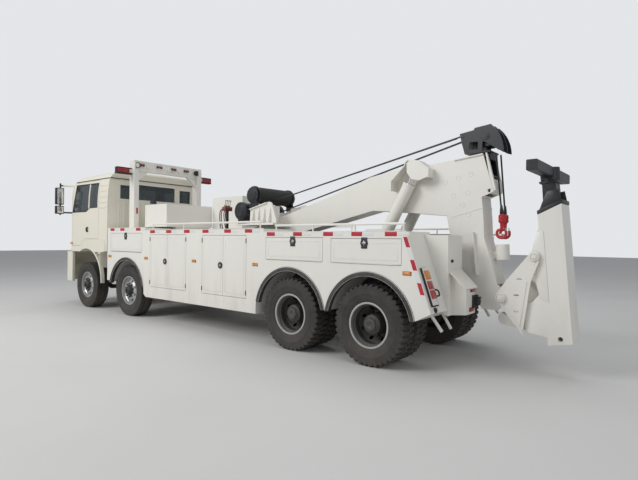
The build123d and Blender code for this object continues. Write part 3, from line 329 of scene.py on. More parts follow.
class Piece:
    """A mesh that bmesh operators shape, and that becomes one piece of the truck."""

    def __init__(self):
        self.mesh = bmesh.new()

    def round(self, vertices, width):
        edges = list({edge for vertex in vertices for edge in vertex.link_edges})
        bmesh.ops.bevel(self.mesh, geom=edges, offset=width, segments=2, profile=0.5,
                        affect="EDGES", material=-1, clamp_overlap=True)

    def block(self, low, high, edge=0.0):
        low = at(*low)
        high = at(*high)
        size = high - low
        shape = Matrix.Translation((low + high) / 2) @ Matrix.Diagonal((*size, 1.0))
        vertices = bmesh.ops.create_cube(self.mesh, size=1.0, matrix=shape)["verts"]
        if edge:
            self.round(vertices, edge)
        return self

    def rod(self, start, end, radius, sides=24, edge=0.0):
        start = at(*start)
        end = at(*end)
        turn = (end - start).to_track_quat("Z", "Y").to_matrix().to_4x4()
        made = bmesh.ops.create_cone(
            self.mesh, cap_ends=True, segments=sides, radius1=radius, radius2=radius,
            depth=(end - start).length, matrix=Matrix.Translation((start + end) / 2) @ turn)["verts"]
        if edge:
            edges = {edge for vertex in made for edge in vertex.link_edges}
            rims = [edge for edge in edges if edge.calc_face_angle(0.0) > RIM_ANGLE]
            bmesh.ops.bevel(self.mesh, geom=rims, offset=edge, segments=2, profile=0.5,
                            affect="EDGES", material=-1)
        return self

    def ball(self, centre, radius):
        bmesh.ops.create_uvsphere(self.mesh, u_segments=20, v_segments=12, radius=radius,
                                  matrix=Matrix.Translation(at(*centre)))
        return self

    def prism(self, corners, along, edge=0.0):
        """A flat outline, pulled out by the vector along."""
        vertices = [self.mesh.verts.new(at(*corner)) for corner in corners]
        face = self.mesh.faces.new(vertices)
        grown = bmesh.ops.extrude_face_region(self.mesh, geom=[face])["geom"]
        moved = [item for item in grown if isinstance(item, bmesh.types.BMVert)]
        bmesh.ops.translate(self.mesh, verts=moved, vec=along)
        if edge:
            self.round(vertices + moved, edge)
        return self

    def side_plate(self, outline, y, edge=0.0):
        return self.prism([(px, y[0], pz) for px, pz in outline], (0.0, y[1] - y[0], 0.0), edge)

    def cross_plate(self, outline, x, edge=0.0):
        return self.prism([(x[0], py, pz) for py, pz in outline], (x[1] - x[0], 0.0, 0.0), edge)

    def turned(self, outline, centre, axis=(0, 1, 0), out=(1, 0, 0), sides=48, arc=360.0, closed=False):
        """An outline of (along, radius) points, spun about an axis through the centre.

        The axis lies across the truck unless another is given, and out is where the outline stands.
        """
        centre = at(*centre)
        axis = Vector(axis)
        out = Vector(out)
        points = [self.mesh.verts.new(centre + axis * along + out * radius) for along, radius in outline]
        edges = [self.mesh.edges.new(pair) for pair in zip(points, points[1:])]
        geometry = points + edges
        if closed:
            geometry.append(self.mesh.edges.new((points[-1], points[0])))
        if arc < 360.0:
            geometry.append(self.mesh.faces.new(points))
        bmesh.ops.spin(self.mesh, geom=geometry, cent=centre, axis=axis, dvec=(0, 0, 0),
                       angle=math.radians(arc), steps=sides, use_merge=arc >= 360.0, use_duplicate=False)
        return self

    def everything(self):
        return self.mesh.verts[:] + self.mesh.edges[:] + self.mesh.faces[:]

    def ring_of(self, count, centre):
        """Everything so far, copied evenly round the cross axis through the centre."""
        bmesh.ops.spin(self.mesh, geom=self.everything(), cent=at(*centre), axis=(0, 1, 0),
                       dvec=(0, 0, 0), angle=math.tau * (count - 1) / count, steps=count - 1,
                       use_merge=False, use_duplicate=True)
        return self

    def bolts(self, count, x, y, z, circle, radius):
        """Hexagon heads on a circle round the cross axis at x and z, between the two values of y."""
        heads = Piece().rod((x, y[0], z + circle), (x, y[1], z + circle), radius, sides=6)
        return self.add(heads.ring_of(count, (x, 0, z)))

    def add(self, other):
        copy = bpy.data.meshes.new("part_of_piece")
        other.mesh.to_mesh(copy)
        self.mesh.from_mesh(copy)
        bpy.data.meshes.remove(copy)
        return self

    def leaned(self, centre, axis, degrees):
        bmesh.ops.rotate(self.mesh, verts=self.mesh.verts[:], cent=at(*centre),
                         matrix=Matrix.Rotation(math.radians(degrees), 3, axis))
        return self

    def to_side(self, sign):
        """The left side's shape, or its mirror image for the right side."""
        if sign < 0:
            bmesh.ops.scale(self.mesh, verts=self.mesh.verts[:], vec=(1.0, -1.0, 1.0))
        return self

    def on_both_sides(self):
        """The left side's shape with its mirror image."""
        copied = bmesh.ops.duplicate(self.mesh, geom=self.everything())["geom"]
        vertices = [item for item in copied if isinstance(item, bmesh.types.BMVert)]
        bmesh.ops.scale(self.mesh, verts=vertices, vec=(1.0, -1.0, 1.0))
        return self

    def keep(self, name, body, finish, slot, stands_for=()):
        bmesh.ops.remove_doubles(self.mesh, verts=self.mesh.verts[:], dist=0.00001)
        bmesh.ops.recalc_face_normals(self.mesh, faces=self.mesh.faces[:])
        limit = math.radians(SHARP_DEGREES)
        for face in self.mesh.faces:
            face.smooth = True
        for edge in self.mesh.edges:
            edge.smooth = edge.calc_face_angle(0.0) < limit
        mesh = bpy.data.meshes.new(name)
        self.mesh.to_mesh(mesh)
        self.mesh.free()
        mesh.materials.append(finish.material)
        made = bpy.data.objects.new(name, mesh)
        bpy.context.scene.collection.objects.link(made)
        if body:
            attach(made, body)
        if stands_for:
            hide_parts(*stands_for)
        return made


def pipe(name, points, radius, body, finish, closed=False, bent=False):
    """A round bar along the points, straight between them or bent through them."""
    curve = bpy.data.curves.new(name, "CURVE")
    curve.dimensions = "3D"
    curve.bevel_depth = radius
    curve.bevel_resolution = 3
    curve.resolution_u = 8
    curve.use_fill_caps = True
    spline = curve.splines.new("NURBS" if bent else "POLY")
    spline.points.add(len(points) - 1)
    for point, place in zip(spline.points, points):
        point.co = (*at(*place), 1.0)
    spline.use_cyclic_u = closed
    if bent:
        spline.order_u = 3
        spline.use_endpoint_u = not closed
    curve.materials.append(finish.material)
    made = bpy.data.objects.new(name, curve)
    bpy.context.scene.collection.objects.link(made)
    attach(made, body)
    return made


# The frame's own nodes
def dress_frame():
    """Each node takes the finish that has the longest start of its name."""
    groups = (
        (body_paint, "locker door_ deck gantry"), (cab_paint, "cab_shell cab_door front_bumper"),
        (glass, "cab_glass door_glass"), (cab_trim, "cab_interior"),
        (boom_paint, "boom lift_barrels underlift_knuckle underlift_arm"),
        (winch_black, "boom_extension underlift_extension crossbar winches"),
        (frame_black, "chassis_frame axles knuckle_"), (engine_grey, "engine"),
        (rod_chrome, "lift_rods"), (hook_paint, "hooks"), (rope_wire, "hoist_ropes"),
        (silver_rim, "rim_"), (dark_rim, "rims_"), (tread_rubber, "tyre"),
    )
    finishes = {start: finish for finish, starts in groups for start in starts.split()}
    for name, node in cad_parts.items():
        start = max((key for key in finishes if name.startswith(key)), key=len)
        node.data.materials.clear()
        node.data.materials.append(finishes[start].material)


dress_frame()


# Wheels. Half outlines of a tyre run from the bead to the middle of the tread, as (along, radius).
TYRE_SIDE = [
    (0.112, 0.2868), (0.119, 0.3), (0.127, 0.306), (0.129, 0.315), (0.132, 0.318),
    (0.14, 0.348), (0.146, 0.38), (0.148, 0.396), (0.1498, 0.398), (0.1502, 0.418),
    (0.1486, 0.42), (0.147, 0.444), (0.1425, 0.468), (0.137, 0.488), (0.13, 0.502),
]
TREAD = 0.53
GROOVE = 0.514
RIB_TREAD = [
    (0.129, 0.505), (0.128, GROOVE), (0.096, GROOVE), (0.095, TREAD), (0.056, TREAD),
    (0.055, GROOVE), (0.043, GROOVE), (0.042, TREAD),
]
PLAIN_TREAD = [(0.128, 0.508), (0.09, GROOVE - 0.002), (0.03, GROOVE)]


def carcass(x, y, tread):
    half = TYRE_SIDE + tread
    outline = half + [(-along, radius) for along, radius in reversed(half)]
    return Piece().turned(outline, (x, y, HUB_HEIGHT), sides=72, closed=True)


def tread_block(x, y, low, high, lean):
    """One block of rubber standing on the tread above the hub, slanted across it."""
    half = 0.029
    foot = HUB_HEIGHT + 0.506
    top = HUB_HEIGHT + TREAD
    block = Piece().block((x - half, y + low, foot), (x + half, y + high, top), 0.004)
    return block.leaned((x, y + (low + high) / 2, top), "Z", lean)


def shoulder_block(x, y, sign, width, inner_edge):
    """A lug whose outer end slopes down over the tyre's shoulder."""
    half = width / 2
    outline = [(inner_edge, 0.504), (inner_edge, TREAD), (0.124, TREAD), (0.133, 0.52), (0.142, 0.474),
               (0.13, 0.47)]
    placed = [(y + sign * along, HUB_HEIGHT + radius) for along, radius in outline]
    return Piece().cross_plate(placed, (x - half, x + half), 0.003)


def lug_tyre(x, y):
    """Traction tyre: big shoulder lugs with two staggered rows of blocks between them."""
    centre = (x, y, HUB_HEIGHT)
    tyre = carcass(x, y, PLAIN_TREAD)
    count = 40
    half_step = 360.0 / count / 2
    for sign in (1, -1):
        lugs = shoulder_block(x, y, sign, 0.05, 0.062).leaned(centre, "Y", half_step * (sign > 0))
        tyre.add(lugs.ring_of(count, centre))
        low, high = sorted((sign * 0.006, sign * 0.05))
        blocks = tread_block(x, y, low, high, 14.0 * sign)
        blocks.leaned(centre, "Y", half_step * (0.4 + sign * 0.5))
        tyre.add(blocks.ring_of(count, centre))
    return tyre


def rib_tyre(x, y):
    """Steering tyre: ribs round the tread, with a notched shoulder."""
    centre = (x, y, HUB_HEIGHT)
    tyre = carcass(x, y, RIB_TREAD)
    for sign in (1, -1):
        tyre.add(shoulder_block(x, y, sign, 0.038, 0.094).ring_of(64, centre))
    return tyre


def wheel_nuts(x, y, circle, size, height):
    """Ten wheel nuts with their stud ends and washers, standing out from the disc at y."""
    z = HUB_HEIGHT + circle
    nuts = Piece().rod((x, y, z), (x, y + height, z), size, sides=6, edge=0.0015)
    nuts.rod((x, y + height - 0.002, z), (x, y + height + 0.012, z), size * 0.52, sides=10)
    nuts.rod((x, y, z), (x, y + 0.004, z), size * 1.25, sides=16)
    return nuts.ring_of(10, (x, y, HUB_HEIGHT))


def steered_wheels():
    for axle in ("axle1", "axle2"):
        x = AXLES[axle]
        for side, sign in SIDES:
            body = f"wheel_{axle}_{side}"
            rib_tyre(x, 1.055).to_side(sign).keep(
                f"road_tyre_{axle}_{side}", body, tread_rubber, "tyre", [f"tyre_{axle}_{side}"])
            wheel_nuts(x, 1.1595, 0.142, 0.016, 0.02).to_side(sign).keep(
                f"wheel_nuts_{axle}_{side}", body, hub_black, "axle_iron")
            hub = Piece().turned([(1.16, 0.118), (1.168, 0.118), (1.17, 0.104), (1.188, 0.1),
                                  (1.2225, 0.0745), (1.23, 0.058), (1.23, 0.03), (1.227, 0.026),
                                  (1.227, 0.0)], (x, 0, HUB_HEIGHT))
            hub.bolts(8, x, (1.205, 1.213), HUB_HEIGHT, 0.082, 0.007)
            hub.to_side(sign).keep(f"hub_cap_{axle}_{side}", body, hub_black, "axle_iron")
            valve = Piece().rod((x, 1.15, HUB_HEIGHT - 0.232), (x, 1.176, HUB_HEIGHT - 0.226), 0.006,
                                sides=10)
            valve.to_side(sign).keep(f"valve_{axle}_{side}", body, bare_steel, "rope_steel")


def driven_wheels():
    for axle in ("axle3", "axle4"):
        x = AXLES[axle]
        for side, sign in SIDES:
            body = f"wheels_{axle}_{side}"
            pair = lug_tyre(x, 1.085).add(lug_tyre(x, 0.74))
            pair.to_side(sign).keep(f"traction_tyres_{axle}_{side}", body, tread_rubber, "tyre",
                                    [f"tyres_{axle}_{side}"])
            lip = Piece().turned([(1.206, 0.2998), (1.2092, 0.2998), (1.2096, 0.296), (1.2088, 0.276),
                                  (1.204, 0.2735), (1.16, 0.2722), (1.16, 0.2736), (1.203, 0.2755)],
                                 (x, 0, HUB_HEIGHT), sides=72, closed=True)
            lip.to_side(sign).keep(f"rim_lip_{axle}_{side}", body, silver_rim, "rim_silver")
            wheel_nuts(x, 0.948, 0.1675, 0.017, 0.024).to_side(sign).keep(
                f"wheel_nuts_{axle}_{side}", body, dark_rim, "rim_grey")
            cap = Piece().turned([(1.147, 0.101), (1.1515, 0.101), (1.153, 0.088), (1.17, 0.0815),
                                  (1.1755, 0.07), (1.1755, 0.034), (1.1725, 0.03), (1.1725, 0.0)],
                                 (x, 0, HUB_HEIGHT))
            cap.bolts(8, x, (1.151, 1.16), HUB_HEIGHT, 0.093, 0.007)
            cap.to_side(sign).keep(f"hub_cap_{axle}_{side}", body, dark_rim, "rim_grey")


steered_wheels()
driven_wheels()


# Body sides. The outer face of the skirt and its doors is at y 1.25 on the left.
def arch_edges():
    """Rubber strips over the wheel arches, from just above the hub in front to the same behind."""
    outline = [(1.19, 0.6335), (1.256, 0.6335), (1.2625, 0.64), (1.263, 0.686), (1.256, 0.6975),
               (1.25, 0.6985), (1.249, 0.696), (1.19, 0.696)]
    start = 11.0
    for axle in ("axle2", "axle3", "axle4"):
        strip = Piece().turned(outline, (AXLES[axle], 0, HUB_HEIGHT), out=raised(start), sides=40,
                               arc=-(180.0 - 2 * start))
        strip.on_both_sides().keep(f"arch_edge_{axle}", "chassis", edge_rubber, "frame_paint")


DOORS = [
    # name, x range, z range, kind
    ("front_flap", (5.39, 6.66), (1.34, 1.73), "flap"),
    ("locker_1", (3.9, 5.09), (0.68, 1.7), "pair"),
    ("locker_2", (2.29, 3.43), (0.68, 1.69), "pair"),
    ("rear_flap_1", (0.73, 1.85), (1.32, 1.66), "flap"),
    ("rear_flap_2", (-0.5, 0.59), (1.32, 1.65), "flap"),
]
LEAF_GAP = 0.006


def latch(x, z, tall):
    """Bezel of a flush latch over the leaf's round boss, with its folding handle."""
    ring = Piece().turned([(1.25, 0.056), (1.258, 0.0555), (1.261, 0.051), (1.2605, 0.046),
                           (1.2575, 0.043), (1.2575, 0.0)], (x, 0, z), sides=32)
    if tall:
        ring.block((x - 0.046, 1.25, z - 0.072), (x + 0.046, 1.257, z + 0.072), 0.003)
    handle = Piece().block((x - 0.03, 1.2575, z - 0.012), (x + 0.03, 1.264, z + 0.012), 0.003)
    handle.block((x - 0.01, 1.2575, z - 0.028), (x + 0.01, 1.2625, z + 0.028), 0.002)
    return ring, handle


def hinge_barrels(places, along):
    """Hinge knuckles, standing upright or lying along the truck."""
    barrels = Piece()
    for x, z, length in places:
        if along:
            barrels.rod((x - length / 2, 1.2515, z), (x + length / 2, 1.2515, z), 0.0065, sides=12)
        else:
            for radius, half, sides in ((0.008, length / 2, 12), (0.005, length / 2 + 0.004, 8)):
                barrels.rod((x, 1.2525, z - half), (x, 1.2525, z + half), radius, sides=sides)
    return barrels


def pressed_rim(x, z):
    """The raised frame that stiffens a door leaf, near its edges."""
    inset = 0.045
    width = 0.012
    rim = Piece()
    low_x, high_x = x[0] + inset, x[1] - inset
    low_z, high_z = z[0] + inset, z[1] - inset
    for x0, z0, x1, z1 in ((low_x, low_z, high_x, low_z + width),
                           (low_x, high_z - width, high_x, high_z),
                           (low_x, low_z + width, low_x + width, high_z - width),
                           (high_x - width, low_z + width, high_x, high_z - width)):
        rim.block((x0, 1.249, z0), (x1, 1.2518, z1), 0.001)
    return rim


def door_fittings():
    for name, x, z, kind in DOORS:
        middle = (x[0] + x[1]) / 2
        for side, sign in SIDES:
            if kind == "flap":
                body = f"door_{name}_{side}"
                leaves = [(body, (x[0] + LEAF_GAP, x[1] - LEAF_GAP))]
                ring, handle = latch(middle, z[1] - 0.06, True)
                length = (x[1] - x[0]) * 0.94
                barrels = hinge_barrels([(middle, z[0] + 0.004, length)], True)
                barrels.to_side(sign).keep(f"hinge_{body}", body, bare_steel, "rope_steel")
            else:
                body = f"door_{name}_front_{side}"
                rear = f"door_{name}_rear_{side}"
                leaves = [(body, (middle + LEAF_GAP / 2, x[1] - LEAF_GAP)),
                          (rear, (x[0] + LEAF_GAP, middle - LEAF_GAP / 2))]
                ring, handle = latch(middle + 0.07, (z[0] + z[1]) / 2, False)
                for leaf_body, hinge_x in ((body, x[1] - 0.004), (rear, x[0] + 0.004)):
                    places = [(hinge_x, hinge_z, 0.07) for hinge_z in (z[0] + 0.09, z[1] - 0.09)]
                    barrels = hinge_barrels(places, False)
                    barrels.to_side(sign).keep(f"hinge_{leaf_body}", "chassis", frame_black, "frame_paint")
            for leaf_body, leaf_x in leaves:
                pressed_rim(leaf_x, (z[0] + LEAF_GAP, z[1] - LEAF_GAP)).to_side(sign).keep(
                    f"pressed_rim_{leaf_body}", leaf_body, body_paint, "body_paint")
            ring.to_side(sign).keep(f"latch_{body}", body, frame_black, "frame_paint")
            handle.to_side(sign).keep(f"latch_handle_{body}", body, bare_steel, "rope_steel")


MARKER_X = (6.686, 5.233, 3.657, 2.084, -0.576)
MARKER_Z = 1.23
# the skirt's top edge steps down towards the rear: x range and height of each length
SKIRT_TOPS = (((5.3, 6.8), 1.84), ((1.9, 5.3), 1.79), ((-0.556, 1.9), 1.74))
# x of the middle of each red length of tape, which lies under that edge
DASHES = (6.591, 6.17, 5.538, 5.009, 4.454, 3.884, 3.34, 2.752, 2.242, 1.743, 1.2, 0.64, 0.165, -0.346)
REAR_EDGE = [(-0.556, 1.74), (-0.893, 0.77)]
TAPE_STEPS = [
    # z range of each red length on the rear edge
    (1.545, 1.67), (1.27, 1.396), (0.986, 1.124),
]


def rear_edge_x(z):
    (top_x, top_z), (low_x, low_z) = REAR_EDGE
    return top_x + (z - top_z) * (low_x - top_x) / (low_z - top_z)


def side_marks():
    markers = Piece()
    bases = Piece()
    for x in MARKER_X:
        bases.block((x - 0.06, 1.249, MARKER_Z - 0.024), (x + 0.06, 1.254, MARKER_Z + 0.024), 0.002)
        markers.block((x - 0.054, 1.253, MARKER_Z - 0.019), (x + 0.054, 1.262, MARKER_Z + 0.019), 0.005)
    bases.on_both_sides().keep("marker_bases", "chassis", black_trim, "frame_paint")
    markers.on_both_sides().keep("marker_lamps", "chassis", amber_lens, "body_paint")
    red = Piece()
    white = Piece()
    for x in DASHES:
        top = next(height for (rear, front), height in SKIRT_TOPS if rear < x < front)
        red.block((x - 0.085, 1.2495, top - 0.062), (x + 0.085, 1.2512, top - 0.006), 0.0004)
        white.block((x - 0.255, 1.2495, top - 0.06), (x - 0.087, 1.251, top - 0.008), 0.0004)
    steps = sorted([0.85, *(z for step in TAPE_STEPS for z in step)])
    for low, high in zip(steps, steps[1:]):
        band = red if (low, high) in TAPE_STEPS else white
        corners = [(rear_edge_x(low) + 0.008, low), (rear_edge_x(low) + 0.062, low),
                   (rear_edge_x(high) + 0.062, high), (rear_edge_x(high) + 0.008, high)]
        band.side_plate(corners, (1.2495, 1.2514))
    red.on_both_sides().keep("red_tape_side", "chassis", red_tape, "body_paint")
    white.on_both_sides().keep("white_tape_side", "chassis", white_tape, "body_paint")


def folded_lips():
    """Folded lips along the top edges and the foot of the skirt."""
    lips = Piece()
    for (rear, front), z in SKIRT_TOPS:
        lips.block((rear, 1.236, z - 0.004), (front, 1.2535, z + 0.006), 0.002)
    lips.block((2.06, 1.249, 0.466), (5.23, 1.2535, 0.48), 0.0015)
    lips.on_both_sides().keep("body_lips", "chassis", body_paint, "body_paint")


arch_edges()
door_fittings()
side_marks()
folded_lips()


# Rear of the body
def rear_lamp_segments():
    """Tail lamps down the body's sloping rear face: amber, red and clear, in a dark housing."""
    parts = ((Piece(), 1.16, 1.277, 1, amber_lens, "tail_lamp_amber"),
             (Piece(), 0.936, 1.152, 2, red_lens, "tail_lamp_red"),
             (Piece(), 0.864, 0.929, 1, clear_lens, "reversing_lamp"))
    for piece, low, high, steps, finish, name in parts:
        height = (high - low) / steps
        for index in range(steps):
            z0 = low + height * index + 0.003
            z1 = low + height * (index + 1) - 0.003
            x0 = rear_edge_x(z0) - 0.03
            x1 = rear_edge_x(z1) - 0.03
            corners = [(x0, z0), (x0 - 0.014, z0 + 0.004), (x1 - 0.014, z1 - 0.004), (x1, z1)]
            piece.side_plate(corners, (1.052, 1.18), 0.002)
        piece.on_both_sides().keep(name, "chassis", finish, "body_paint")
    housing = Piece()
    low, high = 0.852, 1.298
    x0 = rear_edge_x(low)
    x1 = rear_edge_x(high)
    housing.side_plate([(x0 + 0.01, low), (x0 - 0.032, low), (x1 - 0.032, high), (x1 + 0.01, high)],
                       (1.038, 1.192), 0.003)
    housing.on_both_sides().keep("tail_lamp_housing", "chassis", black_trim, "frame_paint")


JACK_FACE = -1.09


def rear_fittings():
    """Small lamps, sockets and handles on the rear columns and the jack boxes."""
    lamps = Piece()
    collars = Piece()
    x = JACK_FACE
    for y, z in ((0.503, 1.018), (0.533, 0.776)):
        lamps.block((x - 0.02, y - 0.064, z - 0.019), (x - 0.002, y + 0.064, z + 0.019), 0.009)
        collars.block((x - 0.01, y - 0.07, z - 0.025), (x + 0.002, y + 0.07, z + 0.025), 0.004)
    lamps.on_both_sides().keep("oblong_rear_lamps", "chassis", red_lens, "body_paint")
    collars.on_both_sides().keep("rear_lamp_collars", "chassis", black_trim, "frame_paint")
    socket = Piece().block((x - 0.03, 0.385, 0.8), (x + 0.004, 0.515, 0.95), 0.006)
    socket.rod((x - 0.026, 0.45, 0.872), (x - 0.072, 0.45, 0.872), 0.05, sides=32, edge=0.005)
    socket.block((x - 0.08, 0.41, 0.912), (x - 0.024, 0.49, 0.93), 0.004)
    for y in (0.397, 0.503):
        for z in (0.813, 0.937):
            socket.rod((x - 0.029, y, z), (x - 0.036, y, z), 0.007, sides=6)
    socket.on_both_sides().keep("trailer_sockets", "chassis", black_trim, "frame_paint")
    vent = Piece().block((-0.909, 0.664, 1.358), (-0.897, 0.724, 1.394), 0.004)
    for z in (1.364, 1.374, 1.384):
        vent.block((-0.914, 0.67, z), (-0.906, 0.718, z + 0.004), 0.001)
    vent.turned([(0.004, 0.034), (-0.01, 0.032), (-0.014, 0.026), (-0.01, 0.018), (-0.004, 0.0)],
                (rear_edge_x(0.8), 1.115, 0.8), **FORWARDS, sides=28)
    vent.on_both_sides().keep("column_vents", "chassis", black_trim, "frame_paint")
    x = rear_edge_x(0.99)
    for side, sign in SIDES:
        bow = [(x + dx, sign * 0.985, z) for dx, z in ((0.02, 1.035), (-0.026, 1.035), (-0.044, 1.018),
                                                       (-0.056, 0.978), (-0.046, 0.958), (0.02, 0.958))]
        pipe(f"grab_bow_{side}", bow, 0.01, "chassis", black_trim, bent=True)


rear_lamp_segments()
rear_fittings()


# Light frame behind the cab
def light_frame():
    lamps = Piece()
    lenses = Piece()
    for y in (0.7, 0.256, -0.115, -0.469):
        lenses.block((6.352, y - 0.06, 3.243), (6.372, y + 0.06, 3.277), 0.006)
        lamps.block((6.368, y - 0.068, 3.235), (6.402, y + 0.068, 3.285), 0.004)
    lenses.keep("beam_marker_lenses", "chassis", red_lens, "body_paint")
    lamps.keep("beam_marker_bases", "chassis", black_trim, "frame_paint")
    work = Piece()
    for y in (0.815, -0.74):
        work.turned([(0.0, 0.03), (-0.012, 0.06), (-0.06, 0.062), (-0.064, 0.056), (-0.056, 0.05),
                     (-0.056, 0.0)], (6.4, y, 3.24), **FORWARDS, sides=28)
    work.keep("beam_work_lamps", "chassis", black_trim, "frame_paint")
    strobe_base = Piece().block((6.42, 0.9, 3.03), (6.54, 1.245, 3.055), 0.004)
    strobe_base.block((6.424, 0.905, 3.15), (6.536, 1.24, 3.172), 0.004)
    strobe_base.block((6.4265, 0.905, 3.05), (6.5335, 1.243, 3.155), 0.004)
    strobe_base.on_both_sides().keep("strobe_frames", "chassis", black_trim, "frame_paint")
    strobes = Piece()
    for index in range(3):
        z = 3.0585 + index * 0.031
        strobes.block((6.421, 0.972, z), (6.539, 1.232, z + 0.027), 0.005)
    strobes.on_both_sides().keep("strobe_lenses", "chassis", red_lens, "body_paint")
    ends = Piece().block((6.4215, 0.902, 3.06), (6.5385, 0.966, 3.146), 0.008)
    ends.on_both_sides().keep("strobe_end_lenses", "chassis", clear_lens, "body_paint")
    reflectors = Piece().block((6.354, 0.795, 2.17), (6.361, 0.835, 2.3), 0.002)
    reflectors.on_both_sides().keep("post_reflectors", "chassis", red_lens, "body_paint")
    bolts = Piece()
    for x in (6.335, 6.585):
        for y in (0.79, 0.905):
            bolts.rod((x, y, 1.856), (x, y, 1.868), 0.011, sides=6)
    bolts.on_both_sides().keep("post_bolts", "chassis", bare_steel, "rope_steel")


light_frame()


# Cab. CORNER is the rounding between its face and its side, seen from above, as x, y and radius.
CORNER = (8.5589, 0.7933, 0.4317)


def cab_side_y(x, z):
    """How far the cab's side stands out at that place."""
    side = CAB_SIDE - 0.045 * (max(z - 2.3, 0.0) / 0.63) ** 2
    corner_x, corner_y, radius = CORNER
    if x > corner_x:
        side = min(side, corner_y + math.sqrt(max(radius ** 2 - (x - corner_x) ** 2, 0.0)))
    return side


def cab_front_x(y, z):
    """How far forward the cab's face reaches at that place."""
    windscreen_foot = 2.12
    if z > windscreen_foot:
        lean = 8.99 - (z - windscreen_foot) * 0.43 / 0.88
    else:
        lean = 9.06 - 0.07 * ((z - 1.33) / 0.79) ** 2
    nose = 9.07 - 0.1 * (y / 0.925) ** 2
    corner_x, corner_y, radius = CORNER
    if abs(y) > 0.925:
        nose = corner_x + math.sqrt(max(radius ** 2 - (abs(y) - corner_y) ** 2, 0.0))
    return min(lean, nose)


WINDOW = [
    (7.35, 2.32), (7.716, 2.32), (7.9, 2.24), (8.63, 2.235), (8.47, 2.89), (7.35, 2.875),
]


def cab_fittings():
    for side, sign in SIDES:
        seal = [(x, sign * (cab_side_y(x, z) - 0.004), z) for x, z in WINDOW]
        pipe(f"window_seal_{side}", seal, 0.011, f"cab_door_{side}", black_trim, closed=True)
        bar = [(7.77, sign * (cab_side_y(7.77, z) - 0.01), z) for z in (2.3, 2.6, 2.88)]
        pipe(f"window_bar_{side}", bar, 0.02, f"cab_door_{side}", cab_paint)
        recess = Piece().block((7.782, 1.223, 1.762), (7.878, 1.2395, 1.878), 0.006)
        recess.block((7.775, 1.237, 1.802), (7.885, 1.2475, 1.84), 0.005)
        recess.to_side(sign).keep(f"door_handle_{side}", f"cab_door_{side}", black_trim, "cab_trim")
        gutter = [(6.884, sign * 1.172, 2.966), (8.5, sign * 1.172, 2.966)]
        pipe(f"gutter_{side}", gutter, 0.009, "cab", black_trim)
        ribs = Piece()
        for index in range(5):
            z = 2.31 + index * 0.125
            y = cab_side_y(7.1, z)
            ribs.block((6.93, y - 0.012, z - 0.018), (7.262, y + 0.007, z + 0.018), 0.006)
        ribs.to_side(sign).keep(f"side_ribs_{side}", "cab", cab_paint, "cab_paint")
        lamp = Piece().block((8.585, 1.225, 1.47), (8.69, 1.242, 1.52), 0.008)
        lamp.to_side(sign).keep(f"side_repeater_{side}", f"cab_door_{side}", amber_lens, "cab_trim")
    wall_ribs = Piece()
    for index in range(17):
        y = -0.96 + index * 0.12
        wall_ribs.block((6.872, y - 0.022, 1.47), (6.884, y + 0.022, 2.42), 0.005)
    wall_ribs.keep("rear_wall_ribs", "cab", cab_paint, "cab_paint")
    gutter = [(6.872, -1.16, 2.968), (6.872, 1.16, 2.968)]
    pipe("gutter_rear", gutter, 0.009, "cab", black_trim)
    slats = Piece()
    for z in (1.48, 1.57, 1.66, 1.75, 1.84, 1.93):
        for index in range(10):
            ends = [-0.8 + index * 0.16, -0.64 + index * 0.16]
            start, end = [(cab_front_x(y, z) - 0.004, y, z) for y in ends]
            slats.rod(start, end, 0.015, sides=12)
    slats.keep("grille_slats", "cab", black_trim, "cab_trim")
    wipers = Piece()
    for y in (0.7, -0.25):
        wipers.rod((cab_front_x(y, 2.19) + 0.012, y, 2.19),
                   (cab_front_x(y - 0.42, 2.29) + 0.014, y - 0.42, 2.29), 0.008)
        wipers.rod((cab_front_x(y - 0.1, 2.25) + 0.01, y - 0.1, 2.205),
                   (cab_front_x(y - 0.74, 2.4) + 0.01, y - 0.74, 2.33), 0.006)
    wipers.keep("wipers", "cab", black_trim, "cab_trim")


def mudguards():
    """Plastic guards behind the front wheels, below the cab's cut edge, with a painted lip outside."""
    centre = (7.86, 0, 0.64)
    guard = Piece().turned([(0.93, 0.737), (1.225, 0.737), (1.225, 0.749), (0.93, 0.749)], centre,
                           out=raised(118), sides=20, arc=-64.0, closed=True)
    guard.on_both_sides().keep("front_mudguards", "cab", black_trim, "cab_trim")
    lip = Piece().turned([(1.16, 0.735), (1.236, 0.735), (1.243, 0.742), (1.243, 0.758), (1.236, 0.765),
                          (1.16, 0.765)], centre, out=raised(100), sides=26, arc=-82.0, closed=True)
    lip.on_both_sides().keep("mudguard_lips", "cab", cab_paint, "cab_paint")


def mirrors():
    for side, sign in SIDES:
        housing = Piece().block((8.856, 1.326, 2.436), (8.964, 1.504, 2.844), 0.012)
        housing.block((8.856, 1.326, 2.206), (8.964, 1.504, 2.404), 0.012)
        for start, end in (((8.9, 1.4, 2.18), (8.9, 1.4, 2.955)),
                           ((8.79, 1.15, 2.24), (8.9, 1.4, 2.24)),
                           ((8.64, 1.14, 2.884), (8.9, 1.4, 2.9))):
            housing.rod(start, end, 0.019, sides=16)
        housing.to_side(sign).keep(f"mirror_housing_{side}", "cab", black_trim, "cab_trim")
        face = Piece().block((8.8525, 1.345, 2.455), (8.8565, 1.485, 2.825), 0.001)
        face.block((8.8525, 1.345, 2.225), (8.8565, 1.485, 2.385), 0.001)
        face.to_side(sign).keep(f"mirror_face_{side}", "cab", rod_chrome, "rod_chrome")


def head_lamps():
    for side, sign in SIDES:
        bowls = Piece()
        for y in (0.8, 0.95):
            bowls.turned([(0.0, 0.058), (0.02, 0.056), (0.03, 0.045), (0.034, 0.0)],
                         (9.088, y, 0.85), **FORWARDS, sides=28)
        bowls.to_side(sign).keep(f"head_lamps_{side}", "chassis", clear_lens, "body_paint")


cab_fittings()
mudguards()
mirrors()
head_lamps()


